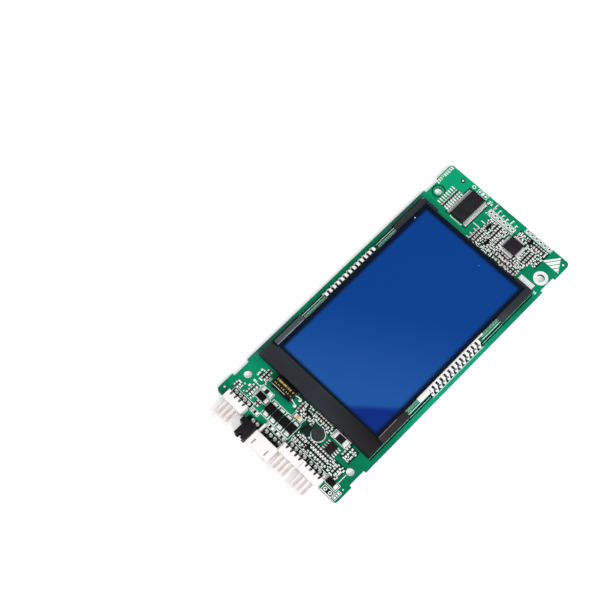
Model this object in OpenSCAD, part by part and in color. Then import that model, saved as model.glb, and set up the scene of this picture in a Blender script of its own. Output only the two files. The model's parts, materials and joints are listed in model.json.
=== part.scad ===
// Display board: a lit segment display on a green circuit board, with its driver
// electronics at one end and a row of right-angle connectors at the other.
// Origin: centre of the four mounting holes, on the underside of the circuit board.
// +X across the board, +Y towards the chip end, +Z towards the viewer. Millimetres.

/* [Display] */
// Width of the viewing area
view_w = 55.6; // [50:0.2:66]
// Length of the viewing area
view_l = 93; // [80:0.5:110]
// Dark border of the front glass along its long sides
mask_side = 2; // [1.5:0.1:3]
// Dark border of the front glass at its two ends
mask_end = 1.4; // [1:0.1:3]
// Rear glass that shows past the front glass on each long side
ledge_w = 2.4; // [1.9:0.1:3]
// Thickness of each glass plate
glass_t = 1.1; // [0.7:0.1:1.5]
// Thickness of each polariser film
film_t = 0.2; // [0.1:0.05:0.4]
// How far the front polariser stays inside its glass
film_inset = 0.25; // [0.1:0.05:0.6]
// Clearance between the glass and the frame
glass_fit = 0.1; // [0.05:0.05:0.2]

/* [Backlight] */
// Thickness of the light guide
guide_t = 1.8; // [1.5:0.1:3]
// How far the light guide reaches past the viewing area
guide_margin = 0.4; // [0.2:0.1:0.6]
// Thickness of the reflector and the diffuser
sheet_t = 0.2; // [0.1:0.05:0.3]
// Wall of the frame around the light guide
frame_wall = 1.2; // [0.8:0.1:1.4]
// Outer wall of the four corner rails
rail_wall = 0.5; // [0.4:0.05:1]
// Length of the rails at the chip end
chip_rail_l = 19.7; // [12:0.1:26]
// Length of the rails at the lamp bar
bar_rail_l = 17.2; // [12:0.1:22]
// Drop from a rail's inner edge to its outer edge
rail_slope = 1.1; // [0.4:0.1:1.2]
// Depth of the lamp bar
bar_l = 8.3; // [7:0.1:12]
// Step from the front film down to the top of the lamp bar
bar_step = 0.3; // [0.1:0.1:0.6]
// Chamfer along the outer edges of the lamp bar
bar_chamfer = 0.4; // [0.2:0.1:0.6]
// Frame wall past the glass at the chip end
end_wall = 0.6; // [0.5:0.1:1.2]
// Width of each locating tab at the chip end
tab_w = 9; // [6:0.5:14]
// How far the locating tabs stand out
tab_l = 1.2; // [0.8:0.1:2]
// Number of lamps behind the bar
lamp_count = 8; // [4:1:10]
// Width of a lamp
lamp_w = 3; // [2:0.1:4]
// Depth of a lamp
lamp_l = 1; // [0.8:0.1:1.4]
// Height of a lamp
lamp_h = 1.2; // [0.8:0.1:1.4]
// Thickness of the strip that carries the lamps
strip_t = 0.6; // [0.4:0.1:1]
// Light guide inside the lamp bar
guide_lap = 1.5; // [0.8:0.1:2.2]

/* [Display pins] */
// Pins in each row
pin_count = 13; // [8:1:18]
// Distance between neighbouring pins
pin_pitch = 2.54; // [2:0.01:3]
// Thickness of the pin metal
pin_t = 0.25; // [0.2:0.05:0.35]
// Width of the clip on the glass
clip_w = 1.4; // [1:0.1:1.6]
// Length of the clip's fingers on the glass
clip_l = 1.6; // [1:0.1:1.8]
// Width of the leg
leg_w = 0.5; // [0.4:0.05:0.6]
// From the glass edge out to the centre of the legs
leg_reach = 0.8; // [0.7:0.05:1.6]
// From the lower end of the glass to the first pin
first_pin = 32.3; // [28:0.1:36]
// Sealant past the last pin at the lamp end
bead_tail = 7; // [4:0.5:8]
// Height of the sealant on the ledge
bead_h = 0.5; // [0.3:0.05:0.7]

/* [Board] */
// Thickness of the circuit board
board_t = 1.6; // [1:0.1:2.4]
// Board past the frame on each long side
side_margin = 3.2; // [2.5:0.1:6]
// Radius of the board's corners
corner_r = 1.8; // [0.8:0.1:3]
// Diameter of the mounting holes
hole_d = 3.7; // [3.2:0.1:4.2]
// Mounting holes from the long edges
hole_in_x = 5; // [4.5:0.1:6]
// Mounting holes from the short edges
hole_in_y = 14.5; // [13:0.1:16]
// Length of the notches beside the mounting holes
notch_l = 9; // [6:0.5:12]
// Depth of those notches
notch_d = 1.25; // [0.6:0.05:1.6]
// Diameter of the drilled pin holes
drill_d = 1.05; // [0.95:0.05:1.2]
// Pin ends below the board
tail_l = 1.3; // [0.9:0.1:2]
// Pads of each spare header row
header_count = 6; // [4:1:6]
// Distance between pads of a spare header row
header_pitch = 2.54; // [2:0.01:2.6]

/* [Chips] */
// Width of the display driver's body
driver_w = 7.5; // [7:0.1:8.5]
// Length of the display driver's body
driver_l = 15.9; // [14:0.1:18]
// Height of the display driver
driver_h = 2.3; // [1.8:0.1:2.8]
// Leads on each side of the display driver
driver_leads = 24; // [14:1:24]
// Distance between the driver's leads
driver_pitch = 0.635; // [0.5:0.005:0.65]
// Reach of the driver's leads past its body
driver_reach = 1.4; // [1:0.1:1.8]
// Width of the driver's leads
driver_lead_w = 0.28; // [0.2:0.01:0.32]
// Size of the controller's square body
controller_s = 7; // [6:0.1:8]
// Height of the controller
controller_h = 1.4; // [1:0.1:1.8]
// Leads on each side of the controller
controller_leads = 12; // [8:1:12]
// Distance between the controller's leads
controller_pitch = 0.5; // [0.4:0.01:0.55]
// Reach of the controller's leads past its body
controller_reach = 1; // [0.8:0.1:1.3]
// Width of the controller's leads
controller_lead_w = 0.22; // [0.16:0.01:0.26]
// Width of the transceiver's body
transceiver_w = 3.9; // [3.4:0.1:4.4]
// Length of the transceiver's body
transceiver_l = 4.9; // [4.5:0.1:5.5]
// Height of the transceiver
transceiver_h = 1.5; // [1.2:0.1:1.8]
// Leads on each side of the transceiver
transceiver_leads = 4; // [3:1:4]
// Distance between the transceiver's leads
transceiver_pitch = 1.27; // [1:0.01:1.3]
// Reach of the transceiver's leads past its body
transceiver_reach = 1.05; // [0.8:0.05:1.3]
// Width of the transceiver's and the transistors' leads
wide_lead_w = 0.42; // [0.35:0.01:0.5]
// Thickness of all chip leads
lead_t = 0.18; // [0.12:0.01:0.25]
// Gap between a chip's body and the board
standoff = 0.12; // [0.05:0.01:0.2]

/* [Small parts] */
// Length of a small chip resistor or capacitor
chip_l = 1.6; // [1.4:0.05:1.8]
// Width of a small chip resistor or capacitor
chip_w = 0.8; // [0.6:0.05:0.95]
// Height of a small chip resistor
resistor_h = 0.45; // [0.35:0.05:0.6]
// Height of a small chip capacitor
capacitor_h = 0.8; // [0.6:0.05:1]
// Length of the tinned ends of a small chip part
cap_l = 0.35; // [0.25:0.05:0.45]
// Metal thickness of the tinned ends
cap_t = 0.04; // [0.03:0.01:0.06]
// Gap between neighbouring chip parts in a row
chip_gap = 0.6; // [0.4:0.05:0.7]
// Length of a transistor's body
transistor_l = 2.9; // [2.6:0.1:3.1]
// Width of a transistor's body
transistor_w = 1.3; // [1.1:0.1:1.5]
// Height of a transistor
transistor_h = 1; // [0.8:0.1:1.2]
// Reach of a transistor's leads past its body
transistor_reach = 0.5; // [0.4:0.05:0.6]
// Length of the current sense resistor
sense_l = 6.4; // [5.6:0.1:7]
// Width of the current sense resistor
sense_w = 3; // [2.4:0.1:3.2]
// Height of the current sense resistor
sense_h = 0.7; // [0.5:0.1:1]
// Tinned ends of the current sense resistor
sense_end = 1.2; // [0.8:0.1:1.6]
// Length of the input fuse
fuse_l = 4.5; // [4:0.1:5]
// Width of the input fuse
fuse_w = 1.9; // [1.5:0.1:2.2]
// Height of the input fuse
fuse_h = 0.9; // [0.6:0.1:1.4]
// Tinned ends of the input fuse
fuse_end = 1.3; // [0.8:0.1:1.6]
// Length of a filter resistor beside the connectors
filter_l = 2; // [1.8:0.1:2.2]
// Width of a filter resistor beside the connectors
filter_w = 1.25; // [1:0.05:1.4]
// Height of a filter resistor
filter_h = 0.55; // [0.4:0.05:0.7]
// Tinned ends of a filter resistor
filter_end = 0.45; // [0.3:0.05:0.6]
// Length of the bulk ceramic capacitor
bulk_l = 3.2; // [2.8:0.1:3.6]
// Width of the bulk ceramic capacitor
bulk_w = 1.8; // [1.5:0.1:2.1]
// Height of the bulk ceramic capacitor
bulk_h = 1.5; // [1:0.1:2]
// Tinned ends of the bulk ceramic capacitor
bulk_end = 0.7; // [0.4:0.05:0.9]

/* [Power parts] */
// Length of a rectifier diode's body
diode_l = 4.5; // [4:0.1:5]
// Width of a rectifier diode's body
diode_w = 3.6; // [3.2:0.1:4]
// Length of the input diode's and the suppressor's body
small_diode_l = 4.3; // [4:0.1:4.8]
// Width of the input diode's and the suppressor's body
small_diode_w = 2.8; // [2.5:0.1:3.1]
// Height of every diode
diode_h = 2.2; // [1.8:0.1:2.6]
// Width of a diode's tabs
diode_tab_w = 2.1; // [1.6:0.1:2.4]
// Reach of a diode's tabs past its body
diode_reach = 0.55; // [0.4:0.05:0.7]
// Diodes in the row
diode_count = 4; // [2:1:4]
// Gap between the diodes of the row
diode_gap = 0.6; // [0.4:0.05:0.8]
// Diameter of the electrolytic capacitor
can_d = 6.3; // [5:0.1:8]
// Length of the electrolytic capacitor
can_l = 11.2; // [9:0.1:12]
// Thickness of its plastic sleeve
sleeve_t = 0.15; // [0.1:0.05:0.3]
// Thickness of its rubber bung
bung_t = 1.4; // [1:0.1:2]
// Diameter of its leads
can_lead_d = 0.5; // [0.4:0.05:0.6]
// Diameter of the stems that hold its leads in the bung
can_stem_d = 0.8; // [0.7:0.05:1]
// Distance between its leads at the bung
can_lead_gap = 2.5; // [2:0.1:2.8]
// Distance between its leads at the board
can_drill_gap = 3.4; // [3:0.1:4]
// Run of its leads from the bung to the board holes
can_lead_run = 2; // [1.5:0.1:2.4]
// Diameter of the choke
choke_d = 5.6; // [5:0.1:6.2]
// Height of the choke
choke_h = 3.6; // [3:0.1:5.5]
// Flange thickness of both chokes
flange_t = 0.8; // [0.5:0.1:0.9]
// Width of the small oval choke
small_choke_w = 3.3; // [3:0.1:3.6]
// Length of the small oval choke
small_choke_l = 4.4; // [4:0.1:4.8]
// Height of the small oval choke
small_choke_h = 2.6; // [2.2:0.1:3.5]

/* [Connectors] */
// Distance between neighbouring connector pins
post_pitch = 2.5; // [2:0.05:2.54]
// Side of the square connector pins
post_s = 0.64; // [0.5:0.02:0.64]
// Pins of each four-way connector
post_count = 4; // [2:1:4]
// Pins of the power connector
power_count = 2; // [2:1:2]
// Length of each wafer block past its last pin
wafer_end = 1.85; // [1.4:0.05:2.2]
// Thickness of a wafer block
wafer_t = 4.5; // [3.4:0.1:4.8]
// Height of a wafer block
wafer_h = 6; // [5:0.1:7]
// How far a wafer block overhangs the board's edge
wafer_over = 1.3; // [1:0.1:2]
// Width of the slots in the back of a wafer block
slot_w = 1.3; // [0.9:0.05:1.5]
// Depth of those slots
slot_l = 1.6; // [0.8:0.1:1.8]
// Length of a wafer's guide plate
plate_l = 8.4; // [7:0.1:10]
// Thickness of a wafer's guide plate
plate_t = 1.2; // [0.8:0.1:1.5]
// Height of the wafer pins above the board
post_z = 3.4; // [3:0.1:4]
// Wafer pin holes from the board's edge
post_row = 5.4; // [4.6:0.1:6]
// Wafer pins past the block
post_out = 6.2; // [5:0.1:7.5]
// Width of the shrouded connector past its last pin
shroud_end = 2.4; // [2.2:0.05:3]
// Depth of the shroud
shroud_l = 7.1; // [6.6:0.1:9]
// Height of the shroud and of the power connector
shroud_h = 6.2; // [5.6:0.1:7]
// Wall of the shroud and of the power connector
shroud_wall = 0.9; // [0.7:0.05:1.1]
// How far the shroud starts past the board's edge
shroud_over = 1.2; // [0.8:0.1:1.6]
// Reach of the shroud's cheeks over the board
cheek_l = 3.4; // [2.8:0.1:4]
// Shroud pin holes from the board's edge
shroud_row = 2; // [1.6:0.1:2.4]
// Width of each window in the shroud's roof
window_w = 0.8; // [0.6:0.05:1.2]
// Length of each window in the shroud's roof
window_l = 2.9; // [2:0.1:3.2]
// Width of the power connector past its last pin
power_end = 1.4; // [1.2:0.05:2]
// Depth of the power connector
power_l = 8.1; // [7.5:0.1:9]
// How far the power connector starts past the board's edge
power_over = 0.7; // [0.4:0.1:1]
// Power pin holes from the board's edge
power_row = 1.3; // [1.2:0.1:1.8]
// Width of the fork in the power connector's mouth
fork_w = 1.9; // [1.4:0.1:2.2]
// Depth of that fork
fork_l = 1.8; // [1.4:0.1:2.4]
// Width of the power connector's side ear
ear_w = 2; // [1.5:0.1:3]
// Length of that ear
ear_l = 2.6; // [2:0.1:3]
// Gap between the power connector and the shrouded connector
power_gap = 1.15; // [0.8:0.05:1.6]
// Gap between the other neighbouring connectors
connector_gap = 0.2; // [0.15:0.05:0.6]

/* [Placement] */
// First connector from the board's left edge
connector_in = 5.5; // [4.5:0.1:6]
// Gap between the first connector and the power connector's ear
ear_gap = 1.7; // [1:0.1:2]
// Wafer pin row to the diode row
diode_row_gap = 1.9; // [1.6:0.1:3.5]
// Strip of board between the diode row and the electrolytic capacitor
mid_strip = 4.25; // [3.2:0.05:5]
// Electrolytic capacitor to the display frame
can_gap = 0.35; // [0.2:0.05:0.6]
// Left edge to the first column of parts at the connector end
column_in = 11.2; // [10.5:0.1:12]
// That column to the electrolytic capacitor
can_side_gap = 4.4; // [3:0.1:5]
// Input diode above the diode row's centre
input_rise = 1.2; // [0.6:0.1:1.4]
// Small choke below the centre of the round choke
choke_drop = 2; // [1.5:0.1:2.4]
// Left edge to the column of resistors at the chip end
chip_column_in = 11.5; // [10.5:0.1:12]
// Chip edge to the display driver's body
driver_in = 3.75; // [3:0.05:5]
// Display driver's body to the display frame
driver_gap = 3.45; // [3:0.05:5]
// Display driver's leads to the first pad of the spare header row
header_gap = 4.1; // [3:0.1:4.5]
// Display driver's leads to the stack of capacitors
stack_gap = 5.3; // [3.5:0.1:6]
// Chip edge to the spare header row
header_row = 5.6; // [5.2:0.1:6.2]
// Chip edge to the second spare header row
edge_header_row = 1.1; // [1:0.1:1.8]
// Chip edge to the first resistor of each column
column_row = 8.5; // [8.2:0.1:9]
// Small gap between neighbouring parts
part_gap = 0.45; // [0.35:0.05:0.6]
// Gap between two rows of parts
row_gap = 0.9; // [0.7:0.1:1.1]
// Gap beside the leads of a chip
lead_gap = 2.1; // [1.8:0.1:2.4]
// Gap between groups of parts
group_gap = 2.9; // [2.6:0.1:3.2]

/* [Hidden] */
$fn = 48;

// Heights of the display stack above the board
reflector_z = board_t;
guide_z = reflector_z + sheet_t;
diffuser_z = guide_z + guide_t;
rear_film_z = diffuser_z + sheet_t;
rear_z = rear_film_z + film_t;
front_z = rear_z + glass_t;
front_film_z = front_z + glass_t;
stack_z = front_film_z + film_t;
bar_z = stack_z - bar_step;
rail_z = stack_z - rail_slope;

// Widths of the display
front_w = view_w + 2 * mask_side;
rear_w = front_w + 2 * ledge_w;
guide_w = view_w + 2 * guide_margin;
tray_w = guide_w + 2 * glass_fit;
ring_w = tray_w + 2 * frame_wall;
frame_w = rear_w + 2 * (glass_fit + rail_wall);
glass_l = view_l + 2 * mask_end;
frame_l = bar_l + 2 * glass_fit + glass_l + end_wall + tab_l;

// Rows of parts at the connector end, from the board's edge
diode_total = diode_l + 2 * diode_reach;
diode_row = post_row + diode_row_gap + diode_total / 2;
can_row = diode_row + diode_total / 2 + mid_strip + can_d / 2;
connector_zone = can_row + can_d / 2 + can_gap;
chip_zone = driver_in + driver_l + driver_gap;

// Connectors along the edge, each from its own left side
wafer_w = (post_count - 1) * post_pitch + 2 * wafer_end;
shroud_w = (post_count - 1) * post_pitch + 2 * shroud_end;
power_w = (power_count - 1) * post_pitch + 2 * power_end;
left_in = connector_in;
power_in = left_in + wafer_w + ear_gap + ear_w;
shroud_in = power_in + power_w + power_gap;
centre_in = shroud_in + shroud_w + connector_gap;
right_in = centre_in + wafer_w + connector_gap;
connector_end = right_in + wafer_w;

// Steps of parts that stand in rows
chip_step = chip_w + chip_gap;
loose_step = chip_w + 2 * part_gap;
filter_step = filter_l + 3 * part_gap;
diode_step = diode_w + diode_gap;
transistor_half = transistor_w / 2 + transistor_reach;

// Parts at the connector end, from the left edge
small_diode_total = small_diode_l + 2 * diode_reach;
can_in = column_in + chip_l / 2 + can_side_gap;
can_drill_in = can_in + can_l + can_lead_run;
bulk_in = can_drill_in + group_gap + part_gap + bulk_l / 2;
small_choke_in = bulk_in + bulk_l / 2 + group_gap + part_gap + small_choke_w / 2;
choke_in = small_choke_in + small_choke_w / 2 + part_gap + choke_d / 2;
transceiver_span = transceiver_w + 2 * transceiver_reach;
transceiver_in = choke_in + choke_d / 2 + group_gap - part_gap + transceiver_span / 2;
array_in = transceiver_in + transceiver_span / 2 + lead_gap + chip_l / 2;
input_in = column_in + chip_l / 2 + lead_gap + small_diode_total / 2;
diode_in = input_in + small_diode_total / 2 + lead_gap + diode_w / 2;
fine_in = diode_in + (diode_count - 1) * diode_step + diode_w / 2 + lead_gap;
fine_transistor_in = fine_in + 4 * chip_step + transistor_half;
fine_rest_in = fine_transistor_in + transistor_half + chip_step;
beside_choke_in = small_choke_in + small_choke_w / 2 + chip_step;
suppressor_in = connector_end - wafer_end + post_s + 2 * part_gap + small_diode_total / 2;

// Parts at the connector end, from the board's edge
brown_row = connector_zone - part_gap - chip_l / 2;
choke_row = brown_row - chip_l / 2 - lead_gap - part_gap - choke_d / 2;
small_choke_row = choke_row - choke_drop;
sense_row = connector_zone - part_gap - sense_w / 2;
transceiver_row = sense_row - sense_w / 2 - 2 * row_gap - transceiver_l / 2;
bulk_row = diode_row + diode_total / 2 + 2 * row_gap + bulk_w / 2;
input_row = diode_row + input_rise;
fuse_row = input_row + small_diode_w / 2 + row_gap + fuse_w / 2;
below_input_row = input_row - small_diode_w / 2 - row_gap - chip_l / 2;
array_row = connector_zone - row_gap - part_gap - chip_w / 2;
upper_fine_row = choke_row - choke_d / 2 - row_gap - chip_l / 2;
lower_fine_row = upper_fine_row - chip_l - row_gap;
filter_row = shroud_row + post_s + row_gap + part_gap + filter_w / 2;

// Parts at the chip end, from the left edge
driver_span = driver_w + 2 * driver_reach;
driver_side_in = chip_column_in + chip_l / 2 + group_gap + driver_span / 2;
driver_edge_in = driver_side_in + driver_span / 2;
header_in = driver_edge_in + header_gap;
stack_in = driver_edge_in + stack_gap + chip_l / 2;
first_transistor_in = stack_in + lead_gap;
narrow_column_in = first_transistor_in + transistor_half + part_gap + chip_l / 2;
wide_column_in = narrow_column_in + chip_l + part_gap;
last_column_in = wide_column_in + chip_l + lead_gap;
controller_span = controller_s + 2 * controller_reach;
controller_in = last_column_in + chip_l / 2 + row_gap + controller_span / 2;
right_column_in = controller_in + controller_span / 2 + lead_gap + chip_l / 2;
edge_transistor_in = controller_in + controller_span / 2;
edge_chips_in = edge_transistor_in + transistor_half + chip_step;
under_controller_in = controller_in - controller_span / 2 + chip_step;

// Parts at the chip end, from the board's chip edge
driver_row = driver_in + driver_l / 2;
controller_row = driver_row;
above_controller_row = controller_row - controller_span / 2 - row_gap;
edge_parts_row = edge_header_row + drill_d + row_gap + transistor_l / 2;
under_row = chip_zone - row_gap - part_gap - chip_l / 2;
stack_row = chip_zone - row_gap - chip_w / 2;

// The board is as wide as the display and both rows of parts need
hole_keepout = hole_in_x + hole_d / 2 + row_gap;
board_w = max(frame_w + 2 * side_margin,
              array_in + chip_l / 2 + hole_keepout,
              suppressor_in + small_diode_total / 2 + group_gap,
              right_column_in + 3 * chip_l + hole_keepout);
board_l = connector_zone + frame_l + chip_zone;

// Places in the board's own frame, from its left, chip and connector edges
function from_left(d) = d - board_w / 2;
function from_chip_edge(d) = board_l / 2 - d;
function from_connector_edge(d) = d - board_l / 2;

// Lengthwise places of the display
frame_y = from_connector_edge(connector_zone);
bar_y = frame_y + bar_l;
glass_y = bar_y + glass_fit;
view_y = glass_y + mask_end;
guide_y = bar_y - guide_lap;
guide_l = guide_lap + glass_fit + mask_end + view_l + guide_margin;
end_y = glass_y + glass_l + glass_fit + end_wall;
pins_y = glass_y + first_pin;
leg_x = rear_w / 2 + leg_reach;

// Pin holes of every soldered row: [x, y]
function row_points(x, y, n, step) = [for (i = [0 : n - 1]) [x + i * step, y]];
function edge_points(in, row, n) = row_points(from_left(in), from_connector_edge(row), n, post_pitch);
function wafer_points(in) = edge_points(in + wafer_end, post_row, post_count);
display_points = [for (s = [-1, 1], i = [0 : pin_count - 1]) [s * leg_x, pins_y + i * pin_pitch]];
wafer_holes = concat(wafer_points(left_in), wafer_points(centre_in), wafer_points(right_in));
shroud_holes = edge_points(shroud_in + shroud_end, shroud_row, post_count);
power_holes = edge_points(power_in + power_end, power_row, power_count);
can_y = from_connector_edge(can_row);
can_holes = [for (s = [-1, 1]) [from_left(can_drill_in), can_y + s * can_drill_gap / 2]];
post_holes = concat(wafer_holes, shroud_holes, power_holes);
header_holes = concat(
  row_points(from_left(header_in), from_chip_edge(header_row), header_count, header_pitch),
  row_points(from_left(controller_in), from_chip_edge(edge_header_row), header_count, header_pitch));
mount_x = board_w / 2 - hole_in_x;
mount_y = board_l / 2 - hole_in_y;
mount_holes = [for (sx = [-1, 1], sy = [-1, 1]) [sx * mount_x, sy * mount_y]];

// Rows of small chip parts: [x, y, count, step in x, step in y, turn]
resistor_rows = [
  [from_left(chip_column_in), from_chip_edge(column_row), 8, 0, -chip_step, 0],
  [from_left(narrow_column_in), from_chip_edge(column_row), 3, 0, -chip_step, 0],
  [from_left(wide_column_in), from_chip_edge(column_row), 6, 0, -chip_step, 0],
  [from_left(last_column_in), from_chip_edge(column_row + 3 * chip_step), 4, 0, -chip_step, 0],
  [from_left(right_column_in), from_chip_edge(column_row), 5, 0, -chip_step, 0],
  [from_left(column_in), from_connector_edge(array_row), 4, 0, -chip_step, 0],
  [from_left(array_in), from_connector_edge(array_row), 4, 0, -chip_step, 0],
  [from_left(column_in), from_connector_edge(diode_row - chip_step), 4, 0, chip_step, 0],
  [from_left(hole_in_x), from_connector_edge(diode_row - 2 * chip_step), 2, 0, chip_step, 0],
  [from_left(beside_choke_in), from_connector_edge(upper_fine_row), 10, chip_step, 0, 90],
  [from_left(fine_in), from_connector_edge(lower_fine_row), 4, chip_step, 0, 90],
  [from_left(fine_rest_in), from_connector_edge(lower_fine_row), 7, chip_step, 0, 90],
  [from_left(array_in + chip_l + part_gap), from_connector_edge(lower_fine_row), 3, 0, chip_step, 0]
];
capacitor_rows = [
  [from_left(stack_in), from_chip_edge(stack_row), 5, 0, chip_step, 0],
  [from_left(stack_in + chip_l + part_gap), from_chip_edge(stack_row), 5, 0, chip_step, 0],
  [from_left(under_controller_in), from_chip_edge(under_row), 8, loose_step, 0, 90],
  [from_left(under_controller_in), from_chip_edge(under_row - chip_l - row_gap), 6, loose_step, 0, 90],
  [from_left(right_column_in + chip_l + part_gap), from_chip_edge(column_row), 5, 0, -chip_step, 0],
  [from_left(edge_chips_in), from_chip_edge(edge_parts_row), 4, chip_step, 0, 90],
  [from_left(controller_in), from_chip_edge(above_controller_row), 1, 0, 0, 0],
  [from_left(fine_in), from_connector_edge(brown_row), 6, chip_step, 0, 90],
  [from_left(can_drill_in + group_gap), from_connector_edge(can_row - chip_step), 3, 0, chip_step, 0],
  [from_left(input_in), from_connector_edge(below_input_row), 2, chip_step, 0, 90]
];

// Transistors: [x, y, turn]
transistor_spots = [
  [from_left(first_transistor_in), from_chip_edge(controller_row), 90],
  [from_left(wide_column_in), from_chip_edge(column_row + 6 * chip_step + transistor_l / 2), 90],
  [from_left(edge_transistor_in), from_chip_edge(edge_parts_row), 90],
  [from_left(bulk_in + lead_gap), from_connector_edge(can_row), 0],
  [from_left(fine_transistor_in), from_connector_edge(lower_fine_row), 90]
];

// Diodes: the row, then the input diode and the surge suppressor: [x, y, turn, length, width]
diode_spots = concat(
  [for (i = [0 : diode_count - 1])
    [from_left(diode_in + i * diode_step), from_connector_edge(diode_row), 90, diode_l, diode_w]],
  [[from_left(input_in), from_connector_edge(input_row), 0, small_diode_l, small_diode_w]],
  [[from_left(suppressor_in), from_connector_edge(post_row), 0, small_diode_l, small_diode_w]]);

// Larger chip resistors: [x, y, length, width, height, tinned end]
filter_y = from_connector_edge(filter_row);
large_spots = concat(
  [[from_left(transceiver_in), from_connector_edge(sense_row), sense_l, sense_w, sense_h, sense_end]],
  [[from_left(input_in), from_connector_edge(fuse_row), fuse_l, fuse_w, fuse_h, fuse_end]],
  [[from_left(power_in - ear_w / 2), filter_y, filter_l, filter_w, filter_h, filter_end]],
  [for (i = [0 : 2])
    [from_left(shroud_in + filter_l + i * filter_step), filter_y, filter_l, filter_w, filter_h, filter_end]]);
bulk_spot = [from_left(bulk_in), from_connector_edge(bulk_row)];

// Shared shapes

module box(x, y, z, w, l, h) {
  translate([x, y, z]) cube([w, l, h]);
}

// A box centred in X
module wide_box(y, z, w, l, h) {
  box(-w / 2, y, z, w, l, h);
}

// A flat outline in X and Z, run along Y by the given length
module run_y(y, l) {
  translate([0, y + l, 0]) rotate([90, 0, 0]) linear_extrude(l) children();
}

// Moulded body with drafted sides that meet in a narrow band at the leads
draft = 7;

module moulded_side(w, h, band) {
  slant = (h - lead_t) / 2 * tan(draft);
  polygon([
    [-w / 2 + slant, 0], [w / 2 - slant, 0], [w / 2, band], [w / 2, band + lead_t],
    [w / 2 - slant, h], [-w / 2 + slant, h], [-w / 2, band + lead_t], [-w / 2, band]]);
}

module moulded_body(w, l, h) {
  band = (h - lead_t) / 2;
  translate([0, 0, standoff]) intersection() {
    run_y(-l / 2, l) moulded_side(w, h, band);
    rotate(90) run_y(-w / 2, w) moulded_side(l, h, band);
  }
}

// Bent lead from a body's side, running out along +X from x = 0 to a foot on the board
module bent_lead(reach, h, w) {
  band = standoff + (h - lead_t) / 2;
  shoulder = reach / 3;
  heel = reach / 2;
  run_y(-w / 2, w) polygon([
    [0, band], [shoulder - lead_t / 2, band], [heel - lead_t / 2, 0], [reach, 0], [reach, lead_t],
    [heel + lead_t / 2, lead_t], [shoulder + lead_t / 2, band + lead_t], [0, band + lead_t]]);
}

// A row of bent leads on one side of a body
module lead_row(side_x, reach, h, n, pitch, w) {
  for (i = [0 : n - 1])
    translate([side_x, (i - (n - 1) / 2) * pitch, 0]) bent_lead(reach, h, w);
}

// Chip part with ends that wrap round it: the body is one solid, each end another
module chip_core(l, w, h) {
  translate([-l / 2 + cap_t, -w / 2, cap_t]) cube([l - 2 * cap_t, w, h - 2 * cap_t]);
}

module chip_ends(l, w, h, end) {
  for (s = [0, 180]) rotate(s) difference() {
    translate([l / 2 - end, -w / 2, 0]) cube([end, w, h]);
    chip_core(l, 2 * w, h);
  }
}

module on_rows(rows) {
  for (r = rows, i = [0 : r[2] - 1])
    translate([r[0] + i * r[3], r[1] + i * r[4], board_t]) rotate(r[5]) children();
}

module on_spots(spots) {
  for (s = spots) translate([s[0], s[1], board_t]) rotate(s[2]) children();
}

module on_board(in, row) {
  translate([from_left(in), row, board_t]) children();
}

// Board

module board_outline() {
  inner_w = board_w - 2 * corner_r;
  inner_l = board_l - 2 * corner_r;
  difference() {
    union() {
      square([board_w, inner_l], center = true);
      square([inner_w, board_l], center = true);
      for (sx = [-1, 1], sy = [-1, 1]) translate([sx * inner_w / 2, sy * inner_l / 2]) circle(corner_r);
    }
    for (sx = [-1, 1], sy = [-1, 1])
      translate([sx * board_w / 2, sy * mount_y]) square([2 * notch_d, notch_l], center = true);
  }
}

module circuit_board() {
  color("seagreen") linear_extrude(board_t) difference() {
    board_outline();
    for (p = mount_holes) translate(p) circle(d = hole_d);
    for (p = concat(display_points, post_holes, can_holes, header_holes)) translate(p) circle(d = drill_d);
  }
}

// Display

module rail_section() {
  groove = rear_w / 2 + glass_fit;
  lip = front_w / 2 + glass_fit;
  polygon([
    [ring_w / 2, board_t], [frame_w / 2, board_t], [frame_w / 2, rail_z], [lip, stack_z],
    [lip, front_z + glass_fit], [groove, front_z + glass_fit], [groove, rear_z], [ring_w / 2, rear_z]]);
}

module rails() {
  for (m = [0, 1]) mirror([m, 0, 0]) {
    run_y(bar_y, bar_rail_l) rail_section();
    run_y(end_y - chip_rail_l, chip_rail_l) rail_section();
  }
}

module bar_section() {
  cut = bar_chamfer;
  polygon([
    [0, board_t], [bar_l, board_t], [bar_l, bar_z], [cut, bar_z], [0, bar_z - cut]]);
}

module lamp_bar() {
  pocket_y = guide_y - lamp_l - strip_t;
  pocket_l = bar_y - pocket_y;
  difference() {
    translate([-frame_w / 2, frame_y, 0]) rotate([90, 0, 90]) linear_extrude(frame_w) bar_section();
    wide_box(pocket_y, board_t, tray_w, pocket_l, rear_z - board_t);
  }
}

module tray_walls() {
  tray_end = guide_y + guide_l + glass_fit;
  seat_h = rear_z - board_t;
  for (m = [0, 1]) mirror([m, 0, 0]) box(tray_w / 2, bar_y, board_t, frame_wall, end_y - bar_y, seat_h);
  wide_box(tray_end, board_t, frame_w, end_y - tray_end, seat_h);
  wide_box(end_y - end_wall, board_t, frame_w, end_wall, rail_z - board_t);
  for (m = [0, 1]) mirror([m, 0, 0])
    box(frame_w / 2 - tab_w, end_y, board_t, tab_w, tab_l, rail_z - board_t);
}

// Shelf of the frame under the glass ledge, along each row of pins and clear of their clips
module pin_shelves() {
  shelf_h = rear_z - pin_t - glass_fit - board_t;
  for (m = [0, 1]) mirror([m, 0, 0])
    box(tray_w / 2, pins_y - pin_pitch / 2, board_t, (rear_w - tray_w) / 2, pin_count * pin_pitch, shelf_h);
}

module backlight_frame() {
  color("dimgray") union() {
    lamp_bar();
    tray_walls();
    pin_shelves();
    rails();
  }
}

module reflector_sheet() {
  color("white") wide_box(guide_y, reflector_z, guide_w, guide_l, sheet_t);
}

module light_guide() {
  color("lightcyan") wide_box(guide_y, guide_z, guide_w, guide_l, guide_t);
}

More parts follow.
